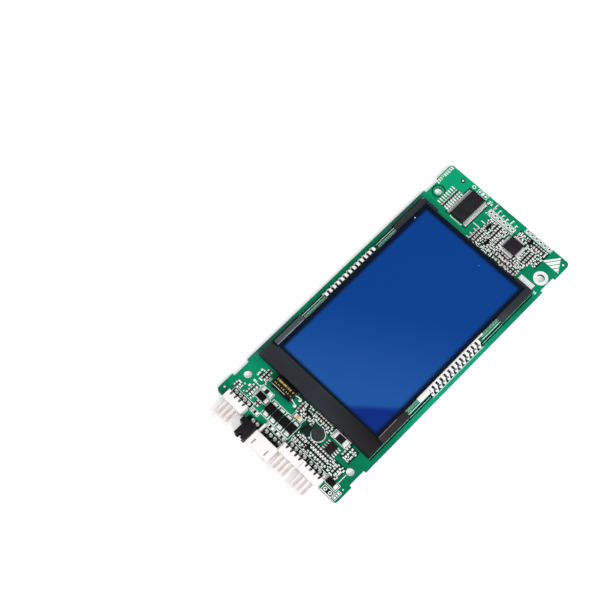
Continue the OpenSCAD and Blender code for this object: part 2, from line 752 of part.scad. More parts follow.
module diffuser_sheet() {
  color("whitesmoke") wide_box(guide_y, diffuser_z, guide_w, guide_l, sheet_t);
}

module lamp_strip() {
  color("lightgray") wide_box(guide_y - lamp_l - strip_t, board_t, guide_w, strip_t, rear_film_z - board_t);
}

module backlight_lamps() {
  step = guide_w / lamp_count;
  color("ivory") for (i = [0 : lamp_count - 1])
    translate([(i - (lamp_count - 1) / 2) * step, 0, 0])
      wide_box(guide_y - lamp_l, guide_z, lamp_w, lamp_l, lamp_h);
}

module rear_polariser() {
  film_y = bar_y + glass_fit;
  color("midnightblue") wide_box(film_y, rear_film_z, guide_w, guide_y + guide_l - film_y, film_t);
}

module rear_glass() {
  color("paleturquoise") wide_box(glass_y, rear_z, rear_w, glass_l, glass_t);
}

module front_glass() {
  color("aliceblue") wide_box(glass_y, front_z, front_w, glass_l, glass_t);
}

module front_polariser() {
  film_w = front_w - 2 * film_inset;
  film_l = glass_l - 2 * film_inset;
  color("royalblue") wide_box(glass_y + film_inset, front_film_z, film_w, film_l, film_t);
}

// Pin that clips on the edge of the rear glass and runs down through the board
module display_pin() {
  edge = rear_w / 2;
  shoulder_z = rear_z - pin_t;
  run_y(-clip_w / 2, clip_w) difference() {
    polygon([
      [edge - clip_l, shoulder_z], [edge + pin_t, shoulder_z],
      [edge + pin_t, front_z + pin_t], [edge - clip_l, front_z + pin_t]]);
    translate([edge - 2 * clip_l, rear_z]) square([2 * clip_l, glass_t]);
  }
  run_y(-leg_w / 2, leg_w) polygon([
    [edge + pin_t, front_z - pin_t], [leg_x - pin_t / 2, shoulder_z], [leg_x - pin_t / 2, -tail_l],
    [leg_x + pin_t / 2, -tail_l], [leg_x + pin_t / 2, shoulder_z + pin_t], [edge + pin_t, front_z + pin_t]]);
}

module display_pin_row() {
  color("silver") for (i = [0 : pin_count - 1]) translate([0, pins_y + i * pin_pitch, 0]) display_pin();
}

module left_display_pins() {
  mirror([1, 0, 0]) display_pin_row();
}

module right_display_pins() {
  display_pin_row();
}

// White sealant along the right ledge, between the front glass and the clips
module sealant_bead() {
  bead_y = pins_y - clip_w / 2 - bead_tail;
  bead_end = pins_y + (pin_count - 1) * pin_pitch + clip_w / 2 + bead_tail / 2;
  strip_w = ledge_w - clip_l;
  wide_l = bead_tail - chip_gap / 2;
  color("white") union() {
    box(front_w / 2, bead_y, front_z, strip_w, bead_end - bead_y, bead_h);
    box(front_w / 2, bead_y, front_z, ledge_w, wide_l, bead_h);
  }
}

// Chips

module driver_chip() {
  color([0.16, 0.15, 0.16]) on_board(driver_side_in, from_chip_edge(driver_row))
    moulded_body(driver_w, driver_l, driver_h);
}

module driver_chip_leads() {
  color("silver") on_board(driver_side_in, from_chip_edge(driver_row)) for (s = [0, 180])
    rotate(s) lead_row(driver_w / 2, driver_reach, driver_h, driver_leads, driver_pitch, driver_lead_w);
}

module controller_chip() {
  color([0.16, 0.15, 0.16]) on_board(controller_in, from_chip_edge(controller_row))
    moulded_body(controller_s, controller_s, controller_h);
}

module controller_chip_leads() {
  n = controller_leads;
  w = controller_lead_w;
  color("silver") on_board(controller_in, from_chip_edge(controller_row)) for (s = [0 : 90 : 270])
    rotate(s) lead_row(controller_s / 2, controller_reach, controller_h, n, controller_pitch, w);
}

module transceiver_chip() {
  color([0.16, 0.15, 0.16]) on_board(transceiver_in, from_connector_edge(transceiver_row))
    moulded_body(transceiver_w, transceiver_l, transceiver_h);
}

module transceiver_chip_leads() {
  n = transceiver_leads;
  w = wide_lead_w;
  color("silver") on_board(transceiver_in, from_connector_edge(transceiver_row)) for (s = [0, 180])
    rotate(s) lead_row(transceiver_w / 2, transceiver_reach, transceiver_h, n, transceiver_pitch, w);
}

// Power parts

// Chokes: metal of their terminals, side of a terminal, and core width as a share of the flange
terminal_t = 0.15;
terminal_s = 1.4;
waist = 0.55;
choke_y = from_connector_edge(choke_row);
small_choke_y = from_connector_edge(small_choke_row);

// Round drum with two flanges
module choke_core() {
  r = choke_d / 2;
  color([0.25, 0.25, 0.26]) on_board(choke_in, choke_y) translate([0, 0, terminal_t])
    rotate_extrude() polygon([
      [0, 0], [r, 0], [r, flange_t], [r * waist, flange_t],
      [r * waist, choke_h - flange_t], [r, choke_h - flange_t], [r, choke_h], [0, choke_h]]);
}

module choke_winding() {
  r = choke_d / 2;
  color("chocolate") on_board(choke_in, choke_y) translate([0, 0, terminal_t + flange_t])
    difference() {
      cylinder(r = r - part_gap, h = choke_h - 2 * flange_t);
      cylinder(r = r * waist, h = choke_h);
    }
}

module oval(w, l) {
  square([w, l - w], center = true);
  for (s = [-1, 1]) translate([0, s * (l - w) / 2]) circle(d = w);
}

module small_choke_core() {
  neck = small_choke_w * (1 - waist);
  color([0.13, 0.13, 0.14]) on_board(small_choke_in, small_choke_y) translate([0, 0, terminal_t]) {
    linear_extrude(flange_t) oval(small_choke_w, small_choke_l);
    linear_extrude(small_choke_h) oval(small_choke_w - neck, small_choke_l - neck);
    translate([0, 0, small_choke_h - flange_t]) linear_extrude(flange_t) oval(small_choke_w, small_choke_l);
  }
}

module small_choke_winding() {
  neck = small_choke_w * (1 - waist);
  color("chocolate") on_board(small_choke_in, small_choke_y)
    translate([0, 0, terminal_t + flange_t]) linear_extrude(small_choke_h - 2 * flange_t) difference() {
      oval(small_choke_w - part_gap, small_choke_l - part_gap);
      oval(small_choke_w - neck, small_choke_l - neck);
    }
}

module choke_terminals() {
  tab = terminal_s;
  color("silver") {
    on_board(choke_in, choke_y) for (s = [-1, 1])
      box(-tab, s * (choke_d / 2 - tab) - tab / 2, 0, 2 * tab, tab, terminal_t);
    on_board(small_choke_in, small_choke_y) for (s = [-1, 1])
      box(-tab / 2, s * (small_choke_l - tab) / 2 - tab / 2, 0, tab, tab, terminal_t);
  }
}

// Electrolytic capacitor on its side, closed end to the left: wall, crimp and sleeve lip of its can
can_wall = 0.35;
crimp = 0.3;
sleeve_lip = 0.7;
can_z = board_t + can_d / 2;

module along_can() {
  translate([from_left(can_in), can_y, can_z]) rotate([0, 90, 0]) children();
}

module capacitor_sleeve() {
  r = can_d / 2;
  inner = r - sleeve_t;
  color([0.1, 0.1, 0.11]) along_can() rotate_extrude() polygon([
    [inner - sleeve_lip, 0], [r, 0], [r, can_l], [inner, can_l],
    [inner, sleeve_t], [inner - sleeve_lip, sleeve_t]]);
}

module capacitor_can() {
  r = can_d / 2 - sleeve_t;
  mouth_r = r - can_wall;
  floor_z = can_l - bung_t;
  crimp_z = floor_z - crimp;
  color("silver") along_can() rotate_extrude() polygon([
    [0, sleeve_t], [r, sleeve_t], [r, crimp_z - crimp], [r - crimp, crimp_z], [r, crimp_z + crimp],
    [r, can_l], [mouth_r, can_l], [mouth_r, floor_z], [0, floor_z]]);
}

module capacitor_bung() {
  r = can_d / 2 - sleeve_t - can_wall;
  color([0.18, 0.18, 0.18]) along_can() difference() {
    translate([0, 0, can_l - bung_t]) cylinder(r = r, h = bung_t);
    for (s = [-1, 1]) translate([0, s * can_lead_gap / 2, 0]) cylinder(d = can_stem_d, h = 2 * can_l);
  }
}

// Each lead: a stem in the bung, a wire out to the side, a bend and a leg through the board
module capacitor_leads() {
  r = can_lead_d / 2;
  bend = 2 * can_lead_d;
  stem_out = 0.3;
  spread = (can_drill_gap - can_lead_gap) / 2;
  wire_l = sqrt(can_lead_run * can_lead_run + spread * spread);
  color("silver") for (s = [-1, 1])
    translate([from_left(can_in + can_l), can_y + s * can_lead_gap / 2, can_z]) {
      translate([-bung_t, 0, 0]) rotate([0, 90, 0]) cylinder(d = can_stem_d, h = bung_t + stem_out);
      rotate(s * atan(spread / can_lead_run)) {
        rotate([0, 90, 0]) cylinder(r = r, h = wire_l - bend);
        translate([wire_l - bend, 0, -bend]) rotate([90, 0, 0])
          rotate_extrude(angle = 90) translate([bend, 0]) circle(r);
        translate([wire_l, 0, -can_z - tail_l]) cylinder(r = r, h = can_z + tail_l - bend);
      }
    }
}

module on_diodes() {
  for (d = diode_spots) translate([d[0], d[1], board_t]) rotate(d[2]) {
    $body_l = d[3];
    $body_w = d[4];
    children();
  }
}

module rectifier_diodes() {
  color([0.14, 0.14, 0.15]) on_diodes() moulded_body($body_l, $body_w, diode_h);
}

module rectifier_diode_tabs() {
  color("silver") on_diodes() for (s = [0, 180])
    rotate(s) translate([$body_l / 2, 0, 0]) bent_lead(diode_reach, diode_h, diode_tab_w);
}

// Small parts

module large_resistors() {
  color([0.2, 0.2, 0.2]) for (s = large_spots) translate([s[0], s[1], board_t]) chip_core(s[2], s[3], s[4]);
}

module large_resistor_caps() {
  color("silver") for (s = large_spots) translate([s[0], s[1], board_t]) chip_ends(s[2], s[3], s[4], s[5]);
}

module bulk_capacitor() {
  color("tan") translate([bulk_spot[0], bulk_spot[1], board_t]) chip_core(bulk_l, bulk_w, bulk_h);
}

module bulk_capacitor_caps() {
  color("silver") translate([bulk_spot[0], bulk_spot[1], board_t])
    chip_ends(bulk_l, bulk_w, bulk_h, bulk_end);
}

module transistors() {
  color([0.14, 0.14, 0.15]) on_spots(transistor_spots) moulded_body(transistor_l, transistor_w, transistor_h);
}

module transistor_leads() {
  pair = transistor_l / 3;
  color("silver") on_spots(transistor_spots) {
    rotate(90) translate([transistor_w / 2, 0, 0]) bent_lead(transistor_reach, transistor_h, wide_lead_w);
    for (s = [-1, 1]) translate([s * pair, 0, 0]) rotate(-90) translate([transistor_w / 2, 0, 0])
      bent_lead(transistor_reach, transistor_h, wide_lead_w);
  }
}

module chip_resistors() {
  color([0.15, 0.15, 0.15]) on_rows(resistor_rows) chip_core(chip_l, chip_w, resistor_h);
}

module chip_resistor_caps() {
  color("silver") on_rows(resistor_rows) chip_ends(chip_l, chip_w, resistor_h, cap_l);
}

module chip_capacitors() {
  color("peru") on_rows(capacitor_rows) chip_core(chip_l, chip_w, capacitor_h);
}

module chip_capacitor_caps() {
  color("silver") on_rows(capacitor_rows) chip_ends(chip_l, chip_w, capacitor_h, cap_l);
}

// Connectors, each drawn from its own left side with the board's edge at y = 0

module at_edge(in) {
  translate([from_left(in), from_connector_edge(0), board_t]) children();
}

// Right-angle pin: along Y from its tip, then down through the board
module post(x, tip_y, row_y, z) {
  half = post_s / 2;
  box(x - half, tip_y, z - half, post_s, row_y + half - tip_y, post_s);
  box(x - half, row_y - half, -board_t - tail_l, post_s, post_s, z + half + board_t + tail_l);
}

module posts(first_x, n, tip_y, row_y, z) {
  for (i = [0 : n - 1]) post(first_x + i * post_pitch, tip_y, row_y, z);
}

module wafer_pins(in) {
  color("silver") at_edge(in) posts(wafer_end, post_count, -wafer_over - post_out, post_row, post_z);
}

// Slot round each pin in the back of a wafer block, narrower towards its floor
module back_slots() {
  floor_w = slot_w / 2;
  for (i = [0 : post_count - 1]) translate([wafer_end + i * post_pitch, wafer_t - wafer_over, 0])
    translate([0, 0, -slot_l]) linear_extrude(wafer_h + 2 * slot_l) polygon([
      [-slot_w / 2, slot_l], [-slot_w / 2, -slot_l / 2], [-floor_w / 2, -slot_l],
      [floor_w / 2, -slot_l], [slot_w / 2, -slot_l / 2], [slot_w / 2, slot_l]]);
}

// Open wafer: a block that holds the pins, and a guide plate with a locking ramp below them
module wafer(in) {
  plate_side = 0.15;
  plate_drop = 1.1;
  plate_w = (post_count - 1) * post_pitch + post_s + 2 * plate_side;
  plate_x = (wafer_w - plate_w) / 2;
  plate_z = post_z - post_s / 2 - plate_drop - plate_t;
  plate_end = -wafer_over - plate_l;
  ramp_l = 1.7;
  ramp_h = 0.6;
  ramp_top = ramp_l / 3;
  color("white") at_edge(in) difference() {
    union() {
      box(0, -wafer_over, 0, wafer_w, wafer_t, wafer_h);
      box(plate_x, plate_end, plate_z, plate_w, plate_l, plate_t);
      translate([plate_x, plate_end, plate_z + plate_t]) rotate([90, 0, 90]) linear_extrude(plate_w)
        polygon([[0, 0], [ramp_l, 0], [ramp_l, ramp_h], [ramp_l - ramp_top, ramp_h]]);
    }
    posts(wafer_end, post_count, -wafer_over - post_out, post_row, post_z);
    back_slots();
  }
}

module left_connector() { wafer(left_in); }
module left_connector_pins() { wafer_pins(left_in); }
module centre_connector() { wafer(centre_in); }
module centre_connector_pins() { wafer_pins(centre_in); }
module right_connector() { wafer(right_in); }
module right_connector_pins() { wafer_pins(right_in); }

// Pins of the shrouded and power connectors stop short of the mouth
shroud_post_z = shroud_h / 2;
shroud_mouth = -shroud_over - shroud_l;
shroud_tip = shroud_mouth + 2 * shroud_wall;
power_mouth = -power_over - power_l;
power_tip = power_mouth + fork_l + shroud_wall;

// Shrouded connector with a window over each outer pin and a cheek at each end of the pins
module shrouded_connector() {
  cheek_h = shroud_h * 2 / 3;
  mouth_y = shroud_mouth;
  wall = shroud_wall;
  color("white") at_edge(shroud_in) difference() {
    union() {
      box(0, mouth_y, 0, shroud_w, shroud_l, shroud_h);
      for (x = [0, shroud_w - wall]) box(x, -shroud_over, 0, wall, cheek_l + shroud_over, cheek_h);
    }
    box(wall, mouth_y - 1, wall, shroud_w - 2 * wall, shroud_l - 2 * wall + 1, shroud_h - 2 * wall);
    for (x = [shroud_end, shroud_w - shroud_end])
      box(x - window_w / 2, mouth_y + wall, shroud_h - 2 * wall, window_w, window_l, 3 * wall);
    posts(shroud_end, post_count, shroud_tip, shroud_row, shroud_post_z);
  }
}

module shrouded_connector_pins() {
  color("silver") at_edge(shroud_in) posts(shroud_end, post_count, shroud_tip, shroud_row, shroud_post_z);
}

// Power connector: a box with a forked mouth and one side ear
module power_connector() {
  wall = shroud_wall;
  mouth_y = power_mouth;
  fork_r = fork_w / 2;
  color([0.13, 0.13, 0.14]) at_edge(power_in) difference() {
    union() {
      box(0, mouth_y, 0, power_w, power_l, shroud_h);
      box(-ear_w, -power_over - ear_l, 0, ear_w, ear_l, shroud_h);
    }
    box(wall, mouth_y - 1, wall, power_w - 2 * wall, power_l - 2 * wall + 1, shroud_h - 2 * wall);
    box(power_w / 2 - fork_r, mouth_y - 1, -1, fork_w, fork_l - fork_r + 1, shroud_h + 2);
    translate([power_w / 2, mouth_y + fork_l - fork_r, -1]) cylinder(r = fork_r, h = shroud_h + 2);
    posts(power_end, power_count, power_tip, power_row, shroud_post_z);
  }
}

module power_connector_pins() {
  color("silver") at_edge(power_in) posts(power_end, power_count, power_tip, power_row, shroud_post_z);
}

// Solder cones under the board, round every pin that comes through it
cone_h = tail_l * 2 / 3;
pad_d = drill_d * 5 / 3;
cone_tip = 1.6;

module solder_cone(tip_d) {
  translate([0, 0, -cone_h]) cylinder(h = cone_h, d1 = tip_d, d2 = pad_d);
}

module solder_joints() {
  color("lightgray") {
    for (p = display_points) translate(p) difference() {
      solder_cone(leg_w * cone_tip);
      cube([pin_t, leg_w, 4 * tail_l], center = true);
    }
    for (p = post_holes) translate(p) difference() {
      solder_cone(post_s * cone_tip);
      cube([post_s, post_s, 4 * tail_l], center = true);
    }
    for (p = can_holes) translate(p) difference() {
      solder_cone(can_lead_d * cone_tip);
      cylinder(d = can_lead_d, h = 4 * tail_l, center = true);
    }
  }
}

circuit_board();
backlight_frame();
reflector_sheet();
light_guide();
diffuser_sheet();
lamp_strip();
backlight_lamps();
rear_polariser();
rear_glass();
front_glass();
front_polariser();
left_display_pins();
right_display_pins();
sealant_bead();
driver_chip();
driver_chip_leads();
controller_chip();
controller_chip_leads();
transceiver_chip();
transceiver_chip_leads();
choke_core();
choke_winding();
small_choke_core();
small_choke_winding();
choke_terminals();
capacitor_sleeve();
capacitor_can();
capacitor_bung();
capacitor_leads();
rectifier_diodes();
rectifier_diode_tabs();
large_resistors();
large_resistor_caps();
bulk_capacitor();
bulk_capacitor_caps();
transistors();
transistor_leads();
chip_resistors();
chip_resistor_caps();
chip_capacitors();
chip_capacitor_caps();
left_connector();
left_connector_pins();
power_connector();
power_connector_pins();
shrouded_connector();
shrouded_connector_pins();
centre_connector();
centre_connector_pins();
right_connector();
right_connector_pins();
solder_joints();
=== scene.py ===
import json
import math
import random
import bmesh
import bpy
from mathutils import Matrix, Vector


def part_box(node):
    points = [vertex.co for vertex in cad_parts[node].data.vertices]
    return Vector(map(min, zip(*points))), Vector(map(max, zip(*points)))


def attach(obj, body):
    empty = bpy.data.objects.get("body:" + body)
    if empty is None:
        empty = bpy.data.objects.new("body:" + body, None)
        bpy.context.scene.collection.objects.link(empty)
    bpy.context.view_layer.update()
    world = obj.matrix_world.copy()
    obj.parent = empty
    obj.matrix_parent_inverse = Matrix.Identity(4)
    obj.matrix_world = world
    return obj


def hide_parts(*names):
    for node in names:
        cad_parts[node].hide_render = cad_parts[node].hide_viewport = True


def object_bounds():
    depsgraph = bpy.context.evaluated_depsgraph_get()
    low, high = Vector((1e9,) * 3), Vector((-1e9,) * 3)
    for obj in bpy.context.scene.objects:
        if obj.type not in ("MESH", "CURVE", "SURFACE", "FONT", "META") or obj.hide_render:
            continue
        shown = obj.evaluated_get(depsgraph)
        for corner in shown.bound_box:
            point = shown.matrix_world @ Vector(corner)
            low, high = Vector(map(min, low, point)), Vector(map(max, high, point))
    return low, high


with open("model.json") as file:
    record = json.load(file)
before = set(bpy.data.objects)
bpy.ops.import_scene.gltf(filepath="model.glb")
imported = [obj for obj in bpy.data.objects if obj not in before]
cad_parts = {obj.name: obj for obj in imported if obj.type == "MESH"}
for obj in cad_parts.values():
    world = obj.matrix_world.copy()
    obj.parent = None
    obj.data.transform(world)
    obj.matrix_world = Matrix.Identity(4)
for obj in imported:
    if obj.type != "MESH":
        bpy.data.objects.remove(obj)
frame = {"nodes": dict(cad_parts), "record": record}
cadBox = [list(corner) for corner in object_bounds()]  # the solids alone
nodes = frame["nodes"]
mm = 0.001
dice = random.Random(11)
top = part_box("circuit_board")[1].z / mm  # board face, in millimetres
print("frame loaded:", len(nodes), "nodes")


# colours are written as they look on screen, 0 to 255
def paint(red, green, blue):
    def linear(c):
        c = c / 255
        return c / 12.92 if c <= 0.04045 else ((c + 0.055) / 1.055) ** 2.4
    return (linear(red), linear(green), linear(blue), 1.0)


def makeGroup(name, inputs, outputs):
    group = bpy.data.node_groups.new(name, "ShaderNodeTree")
    for way, sockets in (("INPUT", inputs), ("OUTPUT", outputs)):
        for label, kind in sockets.items():
            group.interface.new_socket(name=label, in_out=way, socket_type="NodeSocket" + kind)
    return group, group.nodes.new("NodeGroupInput"), group.nodes.new("NodeGroupOutput")


def addNode(tree, kind, **settings):
    made = tree.nodes.new(kind)
    for key, value in settings.items():
        setattr(made, key, value)
    return made


def addMath(tree, operation, first, second=None):
    made = addNode(tree, "ShaderNodeMath", operation=operation)
    for socket, value in zip(made.inputs, (first, second)):
        if isinstance(value, (int, float)):
            socket.default_value = value
        elif value is not None:
            tree.links.new(value, socket)
    return made.outputs[0]


def addRange(tree, value, low, high, toLow=0.0, toHigh=1.0):
    made = addNode(tree, "ShaderNodeMapRange", interpolation_type="SMOOTHSTEP")
    tree.links.new(value, made.inputs["Value"])
    made.inputs["From Min"].default_value = low
    made.inputs["From Max"].default_value = high
    made.inputs["To Min"].default_value = toLow
    made.inputs["To Max"].default_value = toHigh
    return made.outputs["Result"]


def addMix(tree, mask, first, second):
    made = addNode(tree, "ShaderNodeMix", data_type="RGBA")
    sockets = made.inputs[0], made.inputs[6], made.inputs[7]  # factor and the two colours
    for socket, value in zip(sockets, (mask, first, second)):
        if isinstance(value, tuple):
            socket.default_value = value
        else:
            tree.links.new(value, socket)
    return made.outputs[2]


# places on a piece, in metres
def addAxes(tree):
    place = addNode(tree, "ShaderNodeTexCoord").outputs["Object"]
    parts = addNode(tree, "ShaderNodeSeparateXYZ")
    tree.links.new(place, parts.inputs[0])
    x, y, z = [parts.outputs[axis] for axis in "XYZ"]
    return {"place": place, "x": x, "y": y, "z": z}


# product of ramps: axis, from and to in millimetres, value before and value after
def addField(tree, axes, ramps):
    mask = None
    for axis, low, high, before, after in ramps:
        if axis not in axes:  # absX and absY are how far out to either side
            axes[axis] = addMath(tree, "ABSOLUTE", axes[axis[-1].lower()])
        ramp = addRange(tree, axes[axis], low * mm, high * mm, before, after)
        mask = ramp if mask is None else addMath(tree, "MULTIPLY", mask, ramp)
    return mask


# tones laid over a colour, each inside its own field
def layTones(tree, axes, colour, fields):
    for tone, ramps in fields:
        colour = addMix(tree, addField(tree, axes, ramps), colour, paint(*tone))
    return colour


# two close tones that drift into each other over a surface
driftPlan = {"detail": 4.0, "from": 0.3, "to": 0.7}


def makeDrift(plan):
    group, given, out = makeGroup(
        "toneDrift", {"First": "Color", "Second": "Color", "Scale": "Float"}, {"Color": "Color"})
    place = addNode(group, "ShaderNodeTexCoord")
    noise = addNode(group, "ShaderNodeTexNoise")
    noise.inputs["Detail"].default_value = plan["detail"]
    group.links.new(place.outputs["Object"], noise.inputs["Vector"])
    group.links.new(given.outputs["Scale"], noise.inputs["Scale"])
    mask = addRange(group, noise.outputs["Fac"], plan["from"], plan["to"])
    colour = addMix(group, mask, given.outputs["First"], given.outputs["Second"])
    group.links.new(colour, out.inputs["Color"])
    return group


# fine surface texture: a roughness that varies, and a height for the bump
grainPlan = {"detail": 3.0, "wideScale": 260.0, "share": 0.5, "from": 0.3, "to": 0.7}


def makeGrain(plan):
    group, given, out = makeGroup(
        "surfaceGrain", {"Scale": "Float", "Smooth": "Float", "Rough": "Float"},
        {"Roughness": "Float", "Height": "Float"})
    place = addNode(group, "ShaderNodeTexCoord")
    fine = addNode(group, "ShaderNodeTexNoise")
    fine.inputs["Detail"].default_value = plan["detail"]
    wide = addNode(group, "ShaderNodeTexNoise")
    wide.inputs["Scale"].default_value = plan["wideScale"]
    for noise in (fine, wide):
        group.links.new(place.outputs["Object"], noise.inputs["Vector"])
    group.links.new(given.outputs["Scale"], fine.inputs["Scale"])
    both = addMath(group, "ADD", addMath(group, "MULTIPLY", fine.outputs["Fac"], plan["share"]),
                   addMath(group, "MULTIPLY", wide.outputs["Fac"], plan["share"]))
    spread = addNode(group, "ShaderNodeMapRange")
    group.links.new(both, spread.inputs["Value"])
    spread.inputs["From Min"].default_value = plan["from"]
    spread.inputs["From Max"].default_value = plan["to"]
    group.links.new(given.outputs["Smooth"], spread.inputs["To Min"])
    group.links.new(given.outputs["Rough"], spread.inputs["To Max"])
    group.links.new(spread.outputs["Result"], out.inputs["Roughness"])
    group.links.new(fine.outputs["Fac"], out.inputs["Height"])
    return group


driftGroup = makeDrift(driftPlan)
grainGroup = makeGrain(grainPlan)


def newMaterial(name):
    material = bpy.data.materials.new(name)
    material.use_nodes = True
    return material, material.node_tree, material.node_tree.nodes["Principled BSDF"]


def addTones(tree, shader, first, second, scale):
    tone = addNode(tree, "ShaderNodeGroup", node_tree=driftGroup)
    tone.inputs["First"].default_value = paint(*first)
    tone.inputs["Second"].default_value = paint(*second)
    tone.inputs["Scale"].default_value = scale
    tree.links.new(tone.outputs["Color"], shader.inputs["Base Color"])


def addGrain(tree, shader, scale, smooth, rough):
    texture = addNode(tree, "ShaderNodeGroup", node_tree=grainGroup)
    texture.inputs["Scale"].default_value = scale
    texture.inputs["Smooth"].default_value = smooth
    texture.inputs["Rough"].default_value = rough
    tree.links.new(texture.outputs["Roughness"], shader.inputs["Roughness"])
    return texture.outputs["Height"]


reliefDepth = 0.05 * mm  # of the bump in every finish


# one finish: two tones, a roughness range, a grain and plain values for the shader
def makeFinish(name, first, second, drift, rough, grainSize=4000.0, bump=0.08,
               metal=0.0, gloss=0.4):
    material, tree, shader = newMaterial(name)
    addTones(tree, shader, first, second, drift)
    relief = addNode(tree, "ShaderNodeBump")
    relief.inputs["Strength"].default_value = bump
    relief.inputs["Distance"].default_value = reliefDepth
    tree.links.new(addGrain(tree, shader, grainSize, *rough), relief.inputs["Height"])
    tree.links.new(relief.outputs["Normal"], shader.inputs["Normal"])
    shader.inputs["Metallic"].default_value = metal
    shader.inputs["Specular IOR Level"].default_value = gloss
    return material


# what a finish already has, to lay more colour over it
def openFinish(material):
    tree = material.node_tree
    shader = tree.nodes["Principled BSDF"]
    return tree, shader, shader.inputs["Base Color"].links[0].from_socket, addAxes(tree)


# two tones, then their drift, roughness, grain and bump
finishes = {
    "white_sheet": makeFinish("whiteSheet", (238, 238, 236), (228, 228, 226), 90, (0.6, 0.8)),
    "lamp_resin": makeFinish("lampResin", (232, 214, 130), (240, 232, 196), 900, (0.2, 0.35)),
    "tinned_metal": makeFinish("tinnedMetal", (240, 240, 238), (222, 222, 220),
                               700, (0.35, 0.5), 6000, 0.1, metal=0.15),
    "white_sealant": makeFinish("whiteSealant", (240, 240, 238), (226, 228, 228),
                                500, (0.3, 0.5), 1500, 0.3),
    "chip_resin": makeFinish("chipResin", (36, 34, 38), (28, 27, 30),
                             300, (0.5, 0.7), 12000, 0.25, gloss=0.2),
    "ferrite": makeFinish("ferrite", (50, 53, 55), (40, 42, 44),
                          700, (0.5, 0.75), 8000, 0.35, gloss=0.2),
    "copper_wire": makeFinish("enamelledCopper", (150, 78, 38), (120, 56, 26),
                              900, (0.25, 0.4), metal=0.8),
    "can_aluminium": makeFinish("canAluminium", (206, 206, 208), (190, 190, 193),
                                500, (0.25, 0.4), metal=1.0),
    "bung_rubber": makeFinish("bungRubber", (36, 35, 35), (28, 28, 28),
                              400, (0.65, 0.85), 5000, 0.3, gloss=0.2),
    "resistor_coat": makeFinish("resistorCoat", (26, 26, 29), (16, 16, 19),
                                1200, (0.25, 0.45), gloss=0.3),
    "tan_ceramic": makeFinish("tanCeramic", (88, 58, 46), (60, 40, 33),
                              900, (0.4, 0.6), 7000, 0.15),
    "white_nylon": makeFinish("whiteNylon", (245, 241, 240), (239, 233, 231),
                              150, (0.38, 0.55), 6000, 0.1),
    "black_nylon": makeFinish("blackNylon", (25, 21, 25), (18, 15, 18),
                              200, (0.4, 0.6), 8000, 0.15, gloss=0.2),
    "solder": makeFinish("solder", (246, 247, 247), (230, 232, 232),
                         900, (0.3, 0.5), 2500, 0.25, metal=0.1),
}
paleCeramic = makeFinish("paleCeramic", (206, 188, 150), (186, 166, 128),
                         900, (0.4, 0.6), 7000, 0.15)
darkFerrite = makeFinish("darkFerrite", (27, 27, 29), (20, 20, 22),
                         700, (0.5, 0.7), 8000, 0.3, gloss=0.15)
brownResin = makeFinish("brownResin", (34, 26, 30), (26, 20, 23),
                        300, (0.5, 0.7), 12000, 0.25, gloss=0.15)
clipMetal = makeFinish("clipMetal", (250, 249, 248), (238, 236, 236),
                       700, (0.35, 0.5), 6000, 0.1, metal=0.1)
# painted highlights on the rail edges: a pinkish sheen and a brighter glint
edgeSheen = makeFinish("edgeSheen", (146, 126, 133), (112, 98, 104), 1500, (0.35, 0.5), 9000, 0.1)
edgeGlint = makeFinish("edgeGlint", (150, 168, 178), (112, 128, 138), 900, (0.25, 0.4), 9000, 0.1)
diodeResin = makeFinish("diodeResin", (13, 13, 15), (8, 8, 9),
                        300, (0.45, 0.6), 12000, 0.2, gloss=0.12)
trackFilm = makeFinish("trackFilm", (150, 205, 188), (128, 188, 170), 600, (0.3, 0.5))
# painted highlight on the edges of the ledge glass
glassEdgeHighlight = makeFinish("glassEdgeHighlight", (214, 238, 230), (186, 220, 210), 900, (0.6, 0.8), 9000, 0.3)
darkMask = makeFinish("darkMask", (3, 66, 48), (2, 52, 37), 200, (0.3, 0.45), gloss=0.1)
# bare laminate where the mask stops short of the pads; the same finish is used for painted shade on
# the board
bareAndShadeGap = makeFinish("bareAndShadeGap", (4, 36, 28), (2, 24, 19), 400, (0.4, 0.6), gloss=0.05)
mintInk = makeFinish("mintInk", (158, 234, 208), (138, 218, 190),
                     800, (0.55, 0.75), 9000, 0.2, gloss=0.3)
printInk = makeFinish("printInk", (244, 246, 244), (230, 235, 231),
                      800, (0.55, 0.75), 9000, 0.2, gloss=0.3)

# the white nylon lets a little light into its slots
nylonPlan = {
    "Subsurface Weight": 0.35, "Subsurface Radius": (1.0, 0.8, 0.75), "Subsurface Scale": 1.2 * mm,
}
nylon = finishes["white_nylon"].node_tree.nodes["Principled BSDF"]
for socket, value in nylonPlan.items():
    nylon.inputs[socket].default_value = value

# clear parts: a tint that is a little lighter in places
glassPlan = {"drift": 200.0, "lighter": 8, "grain": 900.0, "rougher": 0.06, "index": 1.5}


def makeClear(name, tint, rough):
    material, tree, shader = newMaterial(name)
    lighter = [min(255, c + glassPlan["lighter"]) for c in tint]
    addTones(tree, shader, tint, lighter, glassPlan["drift"])
    addGrain(tree, shader, glassPlan["grain"], rough, rough + glassPlan["rougher"])
    shader.inputs["Transmission Weight"].default_value = 1.0
    shader.inputs["IOR"].default_value = glassPlan["index"]
    return material


finishes["display_glass"] = makeClear("displayGlass", (205, 232, 228), 0.02)
finishes["clear_acrylic"] = makeClear("clearAcrylic", (235, 242, 240), 0.05)

